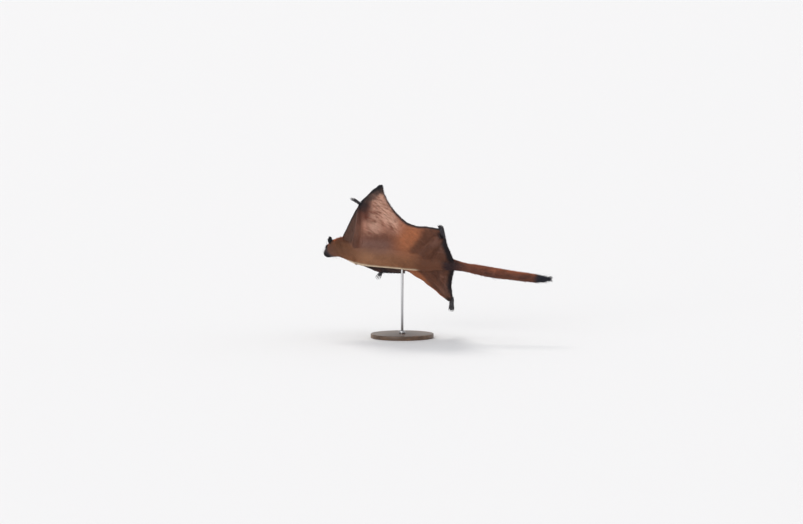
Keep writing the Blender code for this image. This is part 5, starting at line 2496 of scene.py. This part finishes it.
@dataclass(frozen=True)
class Studio:
    """Camera, floor and soft light."""

    azimuth: float = 102.83
    elevation: float = 5.0
    metres_per_pixel: float = 0.00355
    image_width: int = 803
    lens: float = 200.0
    aim_right: float = 0.0332
    aim_up: float = -0.0219
    view_end: float = 600.0
    floor_size: float = 400.0
    floor_drop: float = 0.0002
    floor_colour: tuple[float, ...] = (0.76, 0.76, 0.77, 1.0)
    sky_light: tuple[float, ...] = (0.97, 0.98, 1.0, 1.0)
    sky_strength: float = 0.80
    sky_seen: tuple[float, ...] = (0.915, 0.918, 0.925, 1.0)
    lamp_distance: float = 3.0

    def axes(self) -> tuple[Vector, Vector, Vector]:
        """The camera's right, up and back directions.

        Returns:
            Three unit vectors.
        """
        a, e = math.radians(self.azimuth), math.radians(self.elevation)
        back = Vector((math.sin(a) * math.cos(e), -math.cos(a) * math.cos(e), math.sin(e)))
        right = Vector((math.cos(a), math.sin(a), 0.0))
        return right, back.cross(right), back

    def camera(self) -> None:
        """Sets the camera at the photograph's viewing angle and framing."""
        right, up, back = self.axes()
        data = bpy.data.cameras.new("camera")
        data.lens = self.lens
        distance = self.metres_per_pixel * self.image_width * self.lens / data.sensor_width
        data.clip_end = self.view_end
        camera = new_object("camera", data)
        aim = Vector(POSE.pivot) + right * self.aim_right + up * self.aim_up
        camera.location = aim + back * distance
        look_along(camera, -back)
        bpy.context.scene.camera = camera

    def floor(self) -> None:
        """A plain pale floor, too large for its edge to show."""
        deselect_all()
        bpy.ops.mesh.primitive_plane_add(size=self.floor_size, location=(0.0, 0.0, -self.floor_drop))
        obj = named(bpy.context.object, "floor")
        settle(obj)
        material, _, _ = new_material("floor", Base_Color=self.floor_colour, Roughness=0.9)
        obj.data.materials.append(material)

    def lamp(self, name: str, right: float, up: float, back: float, spread: float, power: float,
             colour: Triple) -> None:
        """A soft far lamp that lights animal and floor evenly.

        Args:
            name: The lamp's name.
            right: How far it stands to the camera's right, as a share.
            up: How far up, as a share.
            back: How far towards the camera, as a share.
            spread: Its width in degrees, which softens its shadows.
            power: Its strength.
            colour: Its tint.
        """
        to_right, to_up, to_back = self.axes()
        way = to_right * right + to_up * up + to_back * back
        data = bpy.data.lights.new(name, "SUN")
        data.energy = power
        data.angle = math.radians(spread)
        data.color = colour
        obj = new_object(name, data)
        obj.location = Vector(POSE.pivot) + way.normalized() * self.lamp_distance
        look_along(obj, -way)

    def light(self) -> None:
        """A pale world, a strong soft top light from behind and a gentle fill from the front."""
        world = bpy.data.worlds.new("world")
        bpy.context.scene.world = world
        world.use_nodes = True
        background = world.node_tree.nodes["Background"]
        background.inputs["Color"].default_value = self.sky_light
        background.inputs["Strength"].default_value = self.sky_strength
        nodes, links = world.node_tree.nodes, world.node_tree.links
        seen = nodes.new("ShaderNodeBackground")
        seen.inputs["Color"].default_value = self.sky_seen
        path = nodes.new("ShaderNodeLightPath")
        mix = nodes.new("ShaderNodeMixShader")
        links.new(path.outputs["Is Camera Ray"], mix.inputs[0])
        links.new(background.outputs[0], mix.inputs[1])
        links.new(seen.outputs[0], mix.inputs[2])
        links.new(mix.outputs[0], nodes["World Output"].inputs["Surface"])
        self.lamp("top_back", -0.25, 1.0, -0.75, 22.0, 1.25, (1.0, 0.96, 0.90))
        self.lamp("front_fill", -0.55, 0.25, 1.0, 40.0, 1.30, (1.0, 0.99, 0.97))
        bpy.context.scene.view_settings.view_transform = "Standard"


def main() -> None:
    """Builds every piece in order and reports it."""
    logging.basicConfig(level=logging.INFO, format="%(message)s")
    studio = Studio()
    studio.camera()
    studio.floor()
    studio.light()

    eyes = [Eye(label, side) for label, side in SIDES]
    skin = Skin(eyes)
    place_piece(skin.build(), "coat", *[name for name in skin.flesh if not name.startswith("eye")])
    face = Face()
    for eye in eyes:
        place_piece(face.eyeball(eye), "eye", f"eye_{eye.label}")
    place_piece(face.whiskers(), "dark_coat")
    place_piece(Claws().build(), "dark_coat")

    steel = SteelFinish().material()
    place_piece(BASE.build(WoodFinish().material()), "stand_wood", BASE.node)
    for turning in (ROD, COLLAR):
        place_piece(turning.build(steel), "stand_steel", turning.node)

    for piece in Coat(skin).build():
        place_piece(piece, "coat")


if __name__ == "__main__":
    main()
